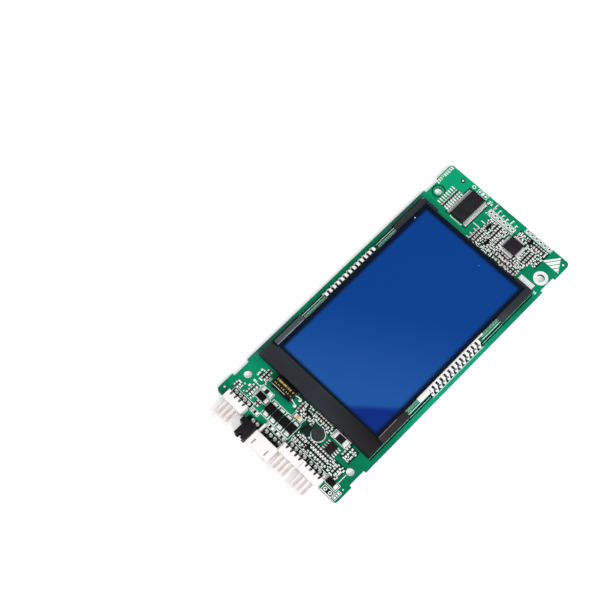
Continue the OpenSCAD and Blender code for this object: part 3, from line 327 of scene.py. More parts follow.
# dark moulding of the frame: painted shade on the right end of the lamp bar and on the right
# lamp-end rail, a painted sheen on the left lamp-end rail, and painted shade in the gap where the
# rails meet the lamp bar
lampRails = [("y", -44.9, -44.5, 0, 1), ("y", -26, -22, 1, 0)]  # how far these two rails run
framePlan = {
    # painted shade: the right end of the lamp bar is darker
    "barEndShade": ((21, 17, 20), [("x", 0, 32, 0, 1), ("y", -44.6, -44.4, 1, 0)]),
    # painted sheen on the left lamp-end rail, painted shade on the right one
    "leftRailSheen": ((74, 82, 86), [("x", -29.9, -29.7, 1, 0)] + lampRails),
    "rightRailShade": ((43, 36, 40), [("x", 29.7, 29.9, 0, 1)] + lampRails),
    # painted shade in the gap where the rails meet the lamp bar
    "joint": ((5, 6, 8), [("absX", 29.2, 29.4, 0, 1), ("y", -45.5, -45.2, 0, 1),
                          ("y", -44.2, -44.0, 1, 0)]),
}


def makeFrame(plan):
    material = makeFinish("darkMoulding", (41, 46, 52), (37, 41, 47),
                          120, (0.42, 0.62), 9000, 0.18, gloss=0.2)
    tree, shader, colour, axes = openFinish(material)
    colour = layTones(tree, axes, colour, plan.values())
    tree.links.new(colour, shader.inputs["Base Color"])
    return material


finishes["dark_frame"] = makeFrame(framePlan)

# green mask on both faces of the board, with fields where it is paler or deeper: paler at the chip
# corner, painted shade among the parts at the plug end, painted shade with a dull sheen beside the
# left rails, and painted light on the strip beside the right pins
boardPlan = {
    "chipCorner": ((6, 166, 116), [("y", 50, 66, 0, 1), ("x", -18, -4, 0.75, 0)]),
    # painted shade among the parts at the plug end
    "plugCornerShade": ((2, 106, 72), [("y", -60, -46, 0.8, 0), ("x", -8, 6, 0, 1)]),
    # painted shade with a dull painted sheen on the strip beside the left rails
    "leftRailsShadeAndSheen": ((58, 108, 98), [("absY", 24, 32, 0, 1), ("absY", 52, 56, 0.8, 0),
                                        ("x", -33.9, -33.5, 1, 0)]),
    # painted light on the strip beside the right pins
    "rightPinsLight": ((18, 158, 120), [("absY", 18, 44, 0.9, 0), ("x", 33.4, 34.0, 0, 1)]),
}
# layers of the laminate on the cut edges, and the plated walls of the holes, painted dark for the
# shade inside them
cutPlan = {
    "layers": ((28, 92, 66), (52, 112, 84)), "scale": 900.0, "flat": (0.4, 0.6),
    "platedAndShadedWalls": ((64, 70, 62), [("absX", 33.4, 33.6, 1, 0), ("absY", 76.2, 76.4, 1, 0)]),
}


def makeBoard(plan, cut):
    material = makeFinish("greenMask", (4, 142, 102), (1, 120, 84),
                          60, (0.3, 0.5), 3000, 0.05, gloss=0.1)
    tree, shader, colour, axes = openFinish(material)
    mask = layTones(tree, axes, colour, plan.values())
    surface = addNode(tree, "ShaderNodeNewGeometry")
    parts = addNode(tree, "ShaderNodeSeparateXYZ")
    tree.links.new(surface.outputs["True Normal"], parts.inputs[0])
    flat = addRange(tree, addMath(tree, "ABSOLUTE", parts.outputs["Z"]), *cut["flat"])
    weave = addNode(tree, "ShaderNodeTexWave", bands_direction="Z")
    tree.links.new(axes["place"], weave.inputs["Vector"])
    weave.inputs["Scale"].default_value = cut["scale"]
    layers = addMix(tree, weave.outputs["Fac"], *[paint(*tone) for tone in cut["layers"]])
    layers = layTones(tree, axes, layers, [cut["platedAndShadedWalls"]])
    tree.links.new(addMix(tree, flat, layers, mask), shader.inputs["Base Color"])
    return material


finishes["green_laminate"] = makeBoard(boardPlan, cutPlan)

# black sleeve of the capacitor: broken gold rows and one pale line round its upper side
sleevePlan = {
    "gold": (176, 150, 84), "pale": (208, 208, 200), "cell": 0.34 * mm, "margin": 0.8 * mm,
    "rows": [(77, 9, 0.3), (111, 6, 0.5)],  # angle, half width and share left blank
    "rowSoft": 1.0, "shuffle": 40.0,
    "line": 137, "lineEdge": (2.0, 3.2), "lineReach": 0.7,
}


def makeSleeve(plan):
    material = makeFinish("blackSleeve", (11, 10, 10), (16, 14, 14),
                          300, (0.2, 0.35), 1200, 0.1, gloss=0.25)
    tree, shader, colour, axes = openFinish(material)
    low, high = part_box("capacitor_sleeve")
    length, soft = high.x - low.x, plan["rowSoft"]
    height = addMath(tree, "SUBTRACT", axes["z"], (low.z + high.z) / 2)
    across = addMath(tree, "SUBTRACT", axes["y"], (low.y + high.y) / 2)
    angle = addMath(tree, "DEGREES", addMath(tree, "ARCTAN2", height, across))
    along = addMath(tree, "SUBTRACT", axes["x"], low.x)
    cell = addMath(tree, "FLOOR", addMath(tree, "DIVIDE", along, plan["cell"]))
    inside = addMath(tree, "MULTIPLY", addMath(tree, "GREATER_THAN", along, plan["margin"]),
                     addMath(tree, "LESS_THAN", along, length - plan["margin"]))
    for i, (centre, half, blank) in enumerate(plan["rows"]):
        away = addMath(tree, "ABSOLUTE", addMath(tree, "SUBTRACT", angle, centre))
        band = addRange(tree, away, half - soft, half + soft, 1.0, 0.0)
        chance = addNode(tree, "ShaderNodeTexWhiteNoise", noise_dimensions="1D")
        tree.links.new(addMath(tree, "ADD", cell, plan["shuffle"] * i), chance.inputs["W"])
        dash = addMath(tree, "GREATER_THAN", chance.outputs["Value"], blank)
        ink = addMath(tree, "MULTIPLY", addMath(tree, "MULTIPLY", band, dash), inside)
        colour = addMix(tree, ink, colour, paint(*plan["gold"]))
    away = addMath(tree, "ABSOLUTE", addMath(tree, "SUBTRACT", angle, plan["line"]))
    line = addMath(tree, "MULTIPLY", addRange(tree, away, *plan["lineEdge"], 1.0, 0.0),
                   addMath(tree, "LESS_THAN", along, plan["lineReach"] * length))
    tree.links.new(addMix(tree, line, colour, paint(*plan["pale"])), shader.inputs["Base Color"])
    return material


finishes["black_sleeve"] = makeSleeve(sleevePlan)

# blue face of the display inside a dark border, with a painted reflection: brighter to the lower
# right, darker in the corner by the lamps
filmPlan = {
    "middle": (0.3 * mm, 2.95 * mm), "half": (27.5 * mm, 45.95 * mm), "soft": 1.0 * mm,
    "upper": (11, 61, 136), "lower": (29, 80, 153), "corner": (14, 42, 120), "border": (11, 22, 38),
    "reflectionSlope": (0.55, -12 * mm, 48 * mm),  # lean, from and to
    "reflectionCorner": (0.9, 50.8 * mm, 55.2 * mm),
    "specks": [(-28.37, 42.5, 0.42, (196, 214, 232)), (7.9, 45.2, 0.2, (150, 200, 246))],
    "grain": (700.0, 0.16, 0.26), "gloss": 0.06,
}


def makeFilm(plan):
    material, tree, shader = newMaterial("blueFilm")
    axes = addAxes(tree)
    sides = []
    for axis, middle, half in zip("xy", plan["middle"], plan["half"]):
        away = addMath(tree, "ABSOLUTE", addMath(tree, "SUBTRACT", axes[axis], middle))
        sides.append(addRange(tree, away, half - plan["soft"], half + plan["soft"], 1.0, 0.0))
    blue = paint(*plan["upper"])
    # painted reflection: a brighter slope to the lower right and a darker corner by the lamps
    for (lean, start, end), tone in ((plan["reflectionSlope"], "lower"), (plan["reflectionCorner"], "corner")):
        slope = addMath(tree, "SUBTRACT", addMath(tree, "MULTIPLY", axes["x"], lean), axes["y"])
        blue = addMix(tree, addRange(tree, slope, start, end), blue, paint(*plan[tone]))
    colour = addMix(tree, addMath(tree, "MULTIPLY", *sides), paint(*plan["border"]), blue)
    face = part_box("front_polariser")[1].z
    for x, y, radius, tone in plan["specks"]:  # specks of dust, in millimetres
        away = addNode(tree, "ShaderNodeVectorMath", operation="DISTANCE")
        tree.links.new(axes["place"], away.inputs[0])
        away.inputs[1].default_value = (x * mm, y * mm, face)
        speck = addRange(tree, away.outputs["Value"], 0.5 * radius * mm, radius * mm, 1.0, 0.0)
        colour = addMix(tree, speck, colour, paint(*tone))
    tree.links.new(colour, shader.inputs["Base Color"])
    addGrain(tree, shader, *plan["grain"])
    shader.inputs["Specular IOR Level"].default_value = plan["gloss"]
    return material


finishes["blue_film"] = makeFilm(filmPlan)

# connector pins: bright at both ends, with painted shade where they pass through the moulding,
# in millimetres from their rear ends
pinPlan = {"from": 4.6, "to": 1.1, "soft": 0.2, "slotShade": (36, 33, 34)}


def makePins(node, plan):
    material = makeFinish(node + "_metal", (232, 224, 220), (216, 208, 204),
                          700, (0.35, 0.5), 6000, 0.1, metal=0.3)
    tree, shader, colour, axes = openFinish(material)
    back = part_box(node)[1].y / mm
    first, last, soft = back - plan["from"], back - plan["to"], plan["soft"]
    ramps = [("y", first - soft, first + soft, 0, 1), ("y", last - soft, last + soft, 1, 0)]
    # painted shade on the pins inside the slots of the moulding
    colour = layTones(tree, axes, colour, [(plan["slotShade"], ramps)])
    tree.links.new(colour, shader.inputs["Base Color"])
    return material


slotOf = {entry["node"]: entry["material_slot"] for entry in frame["record"]["subparts"]}
for node, slot in slotOf.items():
    nodes[node].data.materials.clear()
    nodes[node].data.materials.append(finishes[slot])
ownFinish = {
    "rectifier_diodes": diodeResin, "transistors": diodeResin, "bulk_capacitor": paleCeramic,
    "small_choke_core": darkFerrite, "transceiver_chip": brownResin,
    "left_display_pins": clipMetal, "right_display_pins": clipMetal,
    "front_glass": makeClear("frontGlass", (52, 72, 78), 0.05),  # only its edges show past the film
}
for node in nodes:
    if node.endswith("connector_pins"):
        ownFinish[node] = makePins(node, pinPlan)
for node, material in ownFinish.items():
    nodes[node].data.materials[0] = material
print("finishes made:", len(finishes))


def addObject(name, data):
    made = bpy.data.objects.new(name, data)
    bpy.context.scene.collection.objects.link(made)
    return made


def addPiece(name, bm, material, node=None, smooth=40):
    if not node:  # spun and extruded shapes can turn inside out
        bmesh.ops.recalc_face_normals(bm, faces=bm.faces)
    mesh = bpy.data.meshes.new(name)
    bm.to_mesh(mesh)
    bm.free()
    for face in mesh.polygons:
        face.use_smooth = True
    mesh.set_sharp_from_angle(angle=math.radians(smooth))
    mesh.materials.append(material)
    made = addObject(name, mesh)
    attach(made, "root")
    if node:
        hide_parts(node)


# a node's corners in millimetres
def boxOf(node):
    return [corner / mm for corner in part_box(node)]


# rounding of edges steeper than this, in degrees, once double points and flat faces are joined
roundPlan = {"steep": 35, "flat": 0.5, "segments": 2, "merge": 1e-6}


def mergedCopy(node):
    bm = bmesh.new()
    bm.from_mesh(nodes[node].data)
    bmesh.ops.remove_doubles(bm, verts=bm.verts, dist=roundPlan["merge"])
    return bm


# a node's own shape with its sharp edges rounded, as moulded and stamped parts have them
def roundedCopy(node, radius):
    bm = mergedCopy(node)
    bmesh.ops.dissolve_limit(bm, angle_limit=math.radians(roundPlan["flat"]),
                             verts=bm.verts, edges=bm.edges)
    steep = math.radians(roundPlan["steep"])
    sharp = [edge for edge in bm.edges
             if len(edge.link_faces) == 2 and edge.calc_face_angle() > steep]
    bmesh.ops.bevel(bm, geom=sharp, offset=radius * mm, segments=roundPlan["segments"], profile=0.5,
                    affect="EDGES", clamp_overlap=True, material=-1)
    addPiece(node + "_rounded", bm, nodes[node].data.materials[0], node)


# lowest and highest corner of every separate solid in a node, in millimetres
def solidsOf(node):
    bm = mergedCopy(node)
    found, seen = [], set()
    for start in bm.verts:
        if start in seen:
            continue
        seen.add(start)
        stack, low, high = [start], start.co.copy(), start.co.copy()
        while stack:
            vert = stack.pop()
            low = Vector(map(min, low, vert.co))
            high = Vector(map(max, high, vert.co))
            for edge in vert.link_edges:
                other = edge.other_vert(vert)
                if other not in seen:
                    seen.add(other)
                    stack.append(other)
        found.append((low / mm, high / mm))
    bm.free()
    return found


# rounded edges on the moulded, stamped and pressed parts, radius in millimetres
edgePlan = {
    "backlight_frame": 0.18, "left_connector": 0.2, "centre_connector": 0.2, "right_connector": 0.2,
    "shrouded_connector": 0.22, "power_connector": 0.22, "driver_chip": 0.08,
    "controller_chip": 0.08, "transceiver_chip": 0.08, "rectifier_diodes": 0.1, "transistors": 0.06,
    "left_connector_pins": 0.1, "centre_connector_pins": 0.1, "right_connector_pins": 0.1,
    "shrouded_connector_pins": 0.1, "power_connector_pins": 0.1, "left_display_pins": 0.05,
    "right_display_pins": 0.05, "capacitor_sleeve": 0.3, "sealant_bead": 0.14, "choke_core": 0.15,
    "small_choke_core": 0.15, "large_resistors": 0.05, "bulk_capacitor": 0.06,
}
for node, radius in edgePlan.items():
    roundedCopy(node, radius)
print("rounded parts:", len(edgePlan))

# helpers for thin shapes on the board, all in millimetres; rings wider than wideRing get more sides
shapePlan = {
    "disc": 20, "ring": 28, "wideRing": 1.1, "wideSides": 40, "dome": (16, 8), "slack": 0.001,
}


def addBox(bm, x0, y0, x1, y1, z0, z1):
    size = Matrix.Diagonal((abs(x1 - x0) * mm, abs(y1 - y0) * mm, (z1 - z0) * mm, 1.0))
    spot = Matrix.Translation(Vector((x0 + x1, y0 + y1, z0 + z1)) * 0.5 * mm)
    bmesh.ops.create_cube(bm, size=1.0, matrix=spot @ size)


def addDisc(bm, x, y, radius, z0, z1):
    spot = Matrix.Translation(Vector((x, y, (z0 + z1) / 2)) * mm)
    bmesh.ops.create_cone(bm, cap_ends=True, segments=shapePlan["disc"], radius1=radius * mm,
                          radius2=radius * mm, depth=(z1 - z0) * mm, matrix=spot)


def addRing(bm, x, y, inner, outer, z0, z1):
    corners = [bm.verts.new(Vector((x + r, y, z)) * mm) for r, z in
               ((inner, z0), (outer, z0), (outer, z1), (inner, z1))]
    edges = [bm.edges.new((corners[i], corners[(i + 1) % 4])) for i in range(4)]
    sides = shapePlan["wideSides" if outer > shapePlan["wideRing"] else "ring"]
    bmesh.ops.spin(bm, geom=corners + edges, cent=Vector((x, y, 0)) * mm, axis=(0, 0, 1),
                   angle=math.tau, steps=sides, use_merge=True)


# the four bars of a line round a rectangle
def lineBars(x0, y0, x1, y1, line):
    return [(x0, y0, x1, y0 + line), (x0, y1 - line, x1, y1),
            (x0, y0 + line, x0 + line, y1 - line), (x1 - line, y0 + line, x1, y1 - line)]


def addDome(bm, x, y, radius, height, z0):
    size = Matrix.Diagonal((radius * mm, radius * mm, height * mm, 1.0))
    spot = Matrix.Translation(Vector((x, y, z0)) * mm)
    around, rows = shapePlan["dome"]
    made = bmesh.ops.create_uvsphere(bm, u_segments=around, v_segments=rows, radius=1.0,
                                     matrix=spot @ size)
    floorLevel = (z0 - shapePlan["slack"]) * mm
    below = [vert for vert in made["verts"] if vert.co.z < floorLevel]
    bmesh.ops.delete(bm, geom=below, context="VERTS")
    rim = dict.fromkeys(edge for vert in made["verts"] if vert.is_valid
                        for edge in vert.link_edges if edge.is_boundary)
    bmesh.ops.edgeloop_fill(bm, edges=list(rim))


def extrudeFaces(bm, faces, way):
    moved = bmesh.ops.extrude_face_region(bm, geom=faces)
    verts = [v for v in moved["geom"] if isinstance(v, bmesh.types.BMVert)]
    bmesh.ops.translate(bm, verts=verts, vec=way)


# wedge of solder from a pad up an end face: out is the way it points
def addWedge(bm, x, y, out, reach, height, width, z0):
    side = Vector((-out.y, out.x, 0))
    foot = Vector((x, y, z0)) - side * width / 2
    corners = (foot, foot + out * reach, foot + Vector((0, 0, height)))
    face = bm.faces.new([bm.verts.new(p * mm) for p in corners])
    extrudeFaces(bm, [face], side * width * mm)


# pads and solder under and beside every part on the board; the mask stops short of each pad
padPlan = {"thick": 0.04, "side": 0.08, "gap": 0.2, "bare": 0.012, "fillet": 0.75}
padMesh, solderMesh, bareAndShadeMesh, clearMesh = bmesh.new(), bmesh.new(), bmesh.new(), bmesh.new()
padTop = top + padPlan["thick"]
clearTop = top + padPlan["bare"]
keepOff = []  # rectangles that print stays clear of


def addPad(x0, y0, x1, y1):
    gap = padPlan["gap"]
    addBox(padMesh, x0, y0, x1, y1, top, padTop)
    addBox(bareAndShadeMesh, x0 - gap, y0 - gap, x1 + gap, y1 + gap, top, clearTop)
    keepOff.append((x0, y0, x1, y1))


# a pad from the middle of a terminal to beyond its tip, and solder against the tip
def solderTerminal(low, high, body, reach, rise):
    middle, half = (low + high) / 2, (high - low) / 2
    away = middle - (body[0] + body[1]) / 2
    size = body[1] - body[0]
    if abs(away.x) / size.x > abs(away.y) / size.y:
        out, wide, deep = Vector((math.copysign(1, away.x), 0, 0)), half.y, half.x
    else:
        out, wide, deep = Vector((0, math.copysign(1, away.y), 0)), half.x, half.y
    spread = Vector((abs(out.y), abs(out.x), 0)) * (wide + padPlan["side"])
    tip = middle + out * deep
    a, b = middle - spread, tip + out * reach + spread
    addPad(min(a.x, b.x), min(a.y, b.y), max(a.x, b.x), max(a.y, b.y))
    addWedge(solderMesh, tip.x, tip.y, out, reach * padPlan["fillet"], rise, wide * 2, padTop)


# bodies, their terminals, how far the pad goes past the tip and how high the solder climbs
terminalPlan = [
    ("chip_resistors", "chip_resistor_caps", 0.55, 0.3),
    ("chip_capacitors", "chip_capacitor_caps", 0.55, 0.45),
    ("large_resistors", "large_resistor_caps", 0.7, 0.4),
    ("bulk_capacitor", "bulk_capacitor_caps", 0.6, 0.8),
    ("driver_chip", "driver_chip_leads", 0.55, 0.14),
    ("controller_chip", "controller_chip_leads", 0.45, 0.14),
    ("transceiver_chip", "transceiver_chip_leads", 0.6, 0.16),
    ("transistors", "transistor_leads", 0.4, 0.14),
    ("rectifier_diodes", "rectifier_diode_tabs", 0.9, 0.2),
]
chipBoxes = []
for bodyNode, capNode, reach, rise in terminalPlan:
    bodies = solidsOf(bodyNode)
    if bodyNode.startswith("chip_"):
        chipBoxes += bodies
    for low, high in bodies:
        keepOff.append((low.x, low.y, high.x, high.y))
    for low, high in solidsOf(capNode):
        middle = (low + high) / 2
        body = min(bodies, key=lambda b: ((b[0] + b[1]) / 2 - middle).length)
        solderTerminal(low, high, body, reach, rise)

# rings round the drilled holes, and solder round the pins that go through them
holePlan = {
    "headers": [(-6.4, 70.9, 6), (12.05, 75.4, 6)], "headerStep": 2.54, "headerRing": (0.54, 1.02),
    "earthRing": (31.0, 62.0, 1.9, 3.45), "earthThick": 0.06,
    "sparePads": [(28.5, -74.7), (31.2, -74.7)], "spareRing": (0.4, 0.85),
    "fiducials": [(-26.4, 73.8), (34.1, 74.0), (-34.1, -73.2)], "fiducialRadius": 0.5,
    "jointPad": 0.85, "jointRadius": 0.78, "jointHeight": 0.5,
}
for x0, y0, count in holePlan["headers"]:
    for i in range(count):
        for z0, z1 in ((top, padTop), (-padPlan["thick"], 0.0)):
            x = x0 + i * holePlan["headerStep"]
            addRing(padMesh, x, y0, *holePlan["headerRing"], z0, z1)
addRing(padMesh, *holePlan["earthRing"], top, top + holePlan["earthThick"])
for x, y in holePlan["sparePads"]:
    addRing(padMesh, x, y, *holePlan["spareRing"], top, padTop)
for x, y in holePlan["fiducials"]:
    addDisc(padMesh, x, y, holePlan["fiducialRadius"], top, padTop)
pins = [(low + high) / 2 for low, high in solidsOf("solder_joints")]
for spot in pins:
    addDisc(padMesh, spot.x, spot.y, holePlan["jointPad"], top, padTop)
    addDome(solderMesh, spot.x, spot.y, holePlan["jointRadius"], holePlan["jointHeight"], padTop)

# painted shade on the board, in the finish of the bare gaps: strips behind and under the connectors
# and along both sides of the frame, two dark patches in print boxes, and painted shade beside the
# left rails
plugPlan = {
    "nodes": ["left_connector", "power_connector", "shrouded_connector", "centre_connector",
              "right_connector"],
    "pinsBelow": -60, "into": 3.9, "behind": 1.3,
}
sidePlan = {
    "inner": 32.2, "outer": 33.8, "from": -52.5, "to": 53.2,
    # two dark patches in print boxes, then two strips of painted shade beside the left rails
    "marks": [(27.0, -76.1, 32.7, -73.3), (33.0, -75.6, 35.0, -71.3),
              (-34.25, -44.6, -33.8, -27.0), (-34.2, 33.6, -33.8, 53.4)],
}


# how far along the board a connector's pins go through it
def pinRow(low, high):
    return [spot.y for spot in pins
            if low.x < spot.x < high.x and spot.y < plugPlan["pinsBelow"]][0]


for node in plugPlan["nodes"]:
    low, high = boxOf(node)
    row = pinRow(low, high)
    addBox(bareAndShadeMesh, low.x, row - plugPlan["into"], high.x, row + plugPlan["behind"], top, clearTop)
for sign in (-1, 1):
    addBox(bareAndShadeMesh, sign * sidePlan["inner"], sidePlan["from"],
           sign * sidePlan["outer"], sidePlan["to"], top, clearTop)
for box in sidePlan["marks"]:
    addBox(bareAndShadeMesh, *box, top, clearTop)
addPiece("bare_and_shaded_gaps", bareAndShadeMesh, bareAndShadeGap)
addPiece("solder_pads", padMesh, finishes["solder"])
addPiece("solder_fillets", solderMesh, finishes["solder"], smooth=50)
print("pads and solder done:", len(pins), "pin joints")

# darker mask where the copper below it stops: rings and lines round two chips; the crowded patches
# darken the mask among crowded parts, and where they reach the lamp bar they are painted shade
clearPlan = {
    "rings": [(-31.0, 62.0, 2.7, 3.3), (-26.4, 73.8, 0.55, 1.15)],
    "chips": {"driver_chip_leads": 1.1, "controller_chip_leads": 0.9}, "line": 0.45, "patch": 0.006,
    # crowded patches: darker among crowded parts, painted shade along the lamp bar
    "crowded": [(-5.0, 53.5, 6.4, 69.4), (6.4, 53.5, 22.2, 61.8), (15.2, 61.8, 22.2, 73.8),
                (22.2, 63.8, 26.4, 73.8), (9.2, 68.4, 15.2, 73.6), (2.4, -69.6, 29.4, -62.4),
                (-5.2, -59.8, 5.8, -52.7), (5.8, -57.2, 16.2, -52.7), (22.8, -60.4, 28.4, -53.4),
                (-8.2, -53.7, -5.2, -52.7), (16.2, -53.7, 24.0, -52.7),
                (-27.6, -59.0, -22.6, -55.6)],
}
for ring in clearPlan["rings"]:
    addRing(clearMesh, *ring, top, clearTop)
for node, gap in clearPlan["chips"].items():
    low, high = boxOf(node)
    for bar in lineBars(low.x - gap, low.y - gap, high.x + gap, high.y + gap, clearPlan["line"]):
        addBox(clearMesh, *bar, top, clearTop)
for patch in clearPlan["crowded"]:
    addBox(clearMesh, *patch, top, top + clearPlan["patch"])
addPiece("mask_lines", clearMesh, darkMask)

# white print on the board: plain bars, boxes, rings and dots
printPlan = {
    "thick": 0.03, "line": 0.24,
    "boxes": [(27.0, -76.1, 32.7, -73.3), (33.0, -75.6, 35.0, -71.3), (-7.7, 69.6, 7.6, 72.2),
              (10.7, 74.1, 26.1, 76.4), (23.6, 54.8, 31.5, 57.5), (-18.2, 73.7, -12.3, 76.2),
              (4.3, 66.9, 6.2, 69.2)],
    "bars": [(30.6, -69.7, 30.9, -64.3), (25.0, -76.4, 35.0, -76.15), (-7.0, 68.8, 7.8, 69.2),
             (-6.9, 72.8, -6.4, 76.0), (-19.0, 56.2, -12.0, 56.6), (-19.0, 56.6, -18.6, 57.2),
             (-12.4, 56.6, -12.0, 57.2), (33.0, 54.2, 33.4, 55.4), (33.8, 54.2, 34.2, 55.4),
             (33.5, -75.1, 34.5, -74.2), (33.5, -73.8, 34.5, -73.2), (33.5, -72.8, 34.5, -71.9),
             (34.0, -13.2, 34.2, 19.8), (-9.0, 61.1, -4.8, 61.5), (-6.9, 59.1, -5.1, 59.5),
             (-6.9, 56.4, -5.4, 56.8), (-7.1, 54.1, -5.2, 54.5), (-6.9, 64.4, -4.4, 64.8)],
    "dots": [(-8.0, 69.0, 0.35), (34.2, -69.8, 0.3), (-17.0, 75.0, 0.55), (-15.2, 75.0, 0.8),
             (-13.4, 75.0, 0.55)],
    "rings": [(-20.5, 75.0, 0.55, 0.95)],
    "clearOf": ["backlight_frame", "choke_core", "small_choke_core", "capacitor_sleeve",
                "capacitor_leads"] + plugPlan["nodes"],
    "leftFree": [(26.0, 69.0, 35.6, 76.2), (22.3, 57.8, 26.4, 63.6)],
}
for node in printPlan["clearOf"]:
    low, high = boxOf(node)
    keepOff.append((low.x, low.y, high.x, high.y))
inkMesh = bmesh.new()
inkTop = top + printPlan["thick"]


def printBar(x0, y0, x1, y1):
    addBox(inkMesh, x0, y0, x1, y1, top, inkTop)
    keepOff.append((x0, y0, x1, y1))


def printBox(x0, y0, x1, y1):
    for bar in lineBars(x0, y0, x1, y1, printPlan["line"]):
        printBar(*bar)


def isFree(x0, y0, x1, y1, room):
    return not any(x0 - room < b[2] and x1 + room > b[0] and y0 - room < b[3] and y1 + room > b[1]
                   for b in keepOff)


# a label reads as a short row of strokes: uprights, some joined by a bar above or below
labelPlan = {"stroke": (0.34, 0.5), "cell": (0.56, 0.74), "spare": 0.3, "above": 0.35, "below": 0.6}


def printLabel(x0, y0, x1, y1):
    lying = x1 - x0 > y1 - y0
    length, tall = (x1 - x0, y1 - y0) if lying else (y1 - y0, x1 - x0)
    stroke, cell = dice.uniform(*labelPlan["stroke"]), dice.uniform(*labelPlan["cell"])
    for i in range(int((length + labelPlan["spare"]) / cell)):
        a, kind = i * cell, dice.random()
        parts = [(a, 0, a + stroke, tall)]
        if kind < labelPlan["above"]:
            parts.append((a + stroke, tall - stroke, a + cell, tall))
        elif kind < labelPlan["below"]:
            parts.append((a + stroke, 0, a + cell, stroke))
        for u0, v0, u1, v1 in parts:
            if lying:
                addBox(inkMesh, x0 + u0, y0 + v0, x0 + u1, y0 + v1, top, inkTop)
            else:
                addBox(inkMesh, x1 - v1, y0 + u0, x1 - v0, y0 + u1, top, inkTop)
    keepOff.append((x0, y0, x1, y1))


for box in printPlan["boxes"]:
    printBox(*box)
for bar in printPlan["bars"]:
    printBar(*bar)
for dot in printPlan["dots"]:
    addDisc(inkMesh, *dot, top, inkTop)
for ring in printPlan["rings"]:
    addRing(inkMesh, *ring, top, inkTop)

# cross bars between the spare header holes, and hooked ticks above one header
headerPlan = {
    "half": 0.12, "reach": 1.05, "ticks": (1.6, 2.2, 1.4, 1.3, 2.4, 1.5), "tickFrom": (-6.65, 72.5),
    "tickWide": 0.5, "hook": (0.55, 0.3),
}
half, reach = headerPlan["half"], headerPlan["reach"]
for x0, y0, count in holePlan["headers"]:
    for i in range(count - 1):
        x = x0 + (i + 0.5) * holePlan["headerStep"]
        printBar(x - half, y0 - reach, x + half, y0 + reach)
for i, tall in enumerate(headerPlan["ticks"]):
    x0, y0 = headerPlan["tickFrom"]
    x = x0 + i * holePlan["headerStep"]
    bend, hook = x + headerPlan["tickWide"], headerPlan["hook"]
    printBar(x, y0, bend, y0 + tall)
    printBar(bend, y0 + tall - hook[1], bend + hook[0], y0 + tall)

# bars in the label box beside the display
barPlan = {"count": 8, "first": 23.95, "step": 0.92, "wide": 0.8, "from": 55.1, "to": 57.2}
for i in range(barPlan["count"]):
    x = barPlan["first"] + i * barPlan["step"]
    printBar(x, barPlan["from"], x + barPlan["wide"], barPlan["to"])

# plain bars on both sides of the long resistor column: from, to and half height
columnPlan = {
    "leftOf": -20, "above": 50, "leftBar": (-28.2, -26.3, 0.3), "rightBar": (-23.0, -21.5, 0.42),
    "shortAbove": 64, "shorter": 0.3,
}
for low, high in chipBoxes:
    if low.x < columnPlan["leftOf"] and low.y > columnPlan["above"]:
        y = (low.y + high.y) / 2
        x0, x1, half = columnPlan["leftBar"]
        printBar(x0, y - half, x1, y + half)
        x0, x1, half = columnPlan["rightBar"]
        if y > columnPlan["shortAbove"]:
            x0 += columnPlan["shorter"]
        printBar(x0, y - half, x1, y + half)

# marks along the left edge
markPlan = {"count": 9, "from": -35.3, "to": -33.5, "first": 64.9, "step": 1.24, "tall": 0.8}
for i in range(markPlan["count"]):
    y = markPlan["first"] + i * markPlan["step"]
    printLabel(markPlan["from"], y, markPlan["to"], y + markPlan["tall"])

# hatched corner: a triangle cut into slanting bars
cornerPlan = {
    "corners": ((26.0, 69.2), (35.2, 69.2), (31.1, 76.0)), "slope": (0.8, -0.6),
    "count": 8, "first": -26.4, "step": 1.75, "bar": 1.4,
}
slope = Vector((*cornerPlan["slope"], 0))
for i in range(cornerPlan["count"]):
    bar = bmesh.new()
    bar.faces.new([bar.verts.new(Vector((x, y, top)) * mm) for x, y in cornerPlan["corners"]])
    start = cornerPlan["first"] + i * cornerPlan["step"]
    for away, side in ((start, -1), (start + cornerPlan["bar"], 1)):
        bmesh.ops.bisect_plane(bar, geom=bar.verts[:] + bar.edges[:] + bar.faces[:],
                               plane_co=slope * away * mm, plane_no=slope * side, clear_outer=True)
    extrudeFaces(bar, bar.faces[:], (0, 0, printPlan["thick"] * mm))
    piece = bpy.data.meshes.new("bar")
    bar.to_mesh(piece)
    bar.free()
    inkMesh.from_mesh(piece)
    bpy.data.meshes.remove(piece)
keepOff += printPlan["leftFree"]

# boxes printed round the larger parts, by how far they stand off, and the ring round the choke
roomPlan = {
    "uprightDiode": (0.3, 2.1), "lyingDiode": (2.0, 0.3), "resistor": (1.3, 0.45),
    "wafers": ["left_connector", "centre_connector", "right_connector"],
    "waferSide": 0.2, "waferFront": 1.5, "waferBack": 1.55, "chokeRing": (3.05, 3.4),
}
for low, high in solidsOf("rectifier_diodes"):
    upright = high.y - low.y > high.x - low.x
    dx, dy = roomPlan["uprightDiode" if upright else "lyingDiode"]
    printBox(low.x - dx, low.y - dy, high.x + dx, high.y + dy)
dx, dy = roomPlan["resistor"]
for low, high in solidsOf("large_resistors") + solidsOf("bulk_capacitor"):
    printBox(low.x - dx, low.y - dy, high.x + dx, high.y + dy)
dx = roomPlan["waferSide"]
for node in roomPlan["wafers"]:
    low, high = boxOf(node)
    row = pinRow(low, high)
    printBox(low.x - dx, row - roomPlan["waferFront"], high.x + dx, row + roomPlan["waferBack"])
low, high = boxOf("choke_core")
addRing(inkMesh, (low.x + high.x) / 2, (low.y + high.y) / 2, *roomPlan["chokeRing"], top, inkTop)

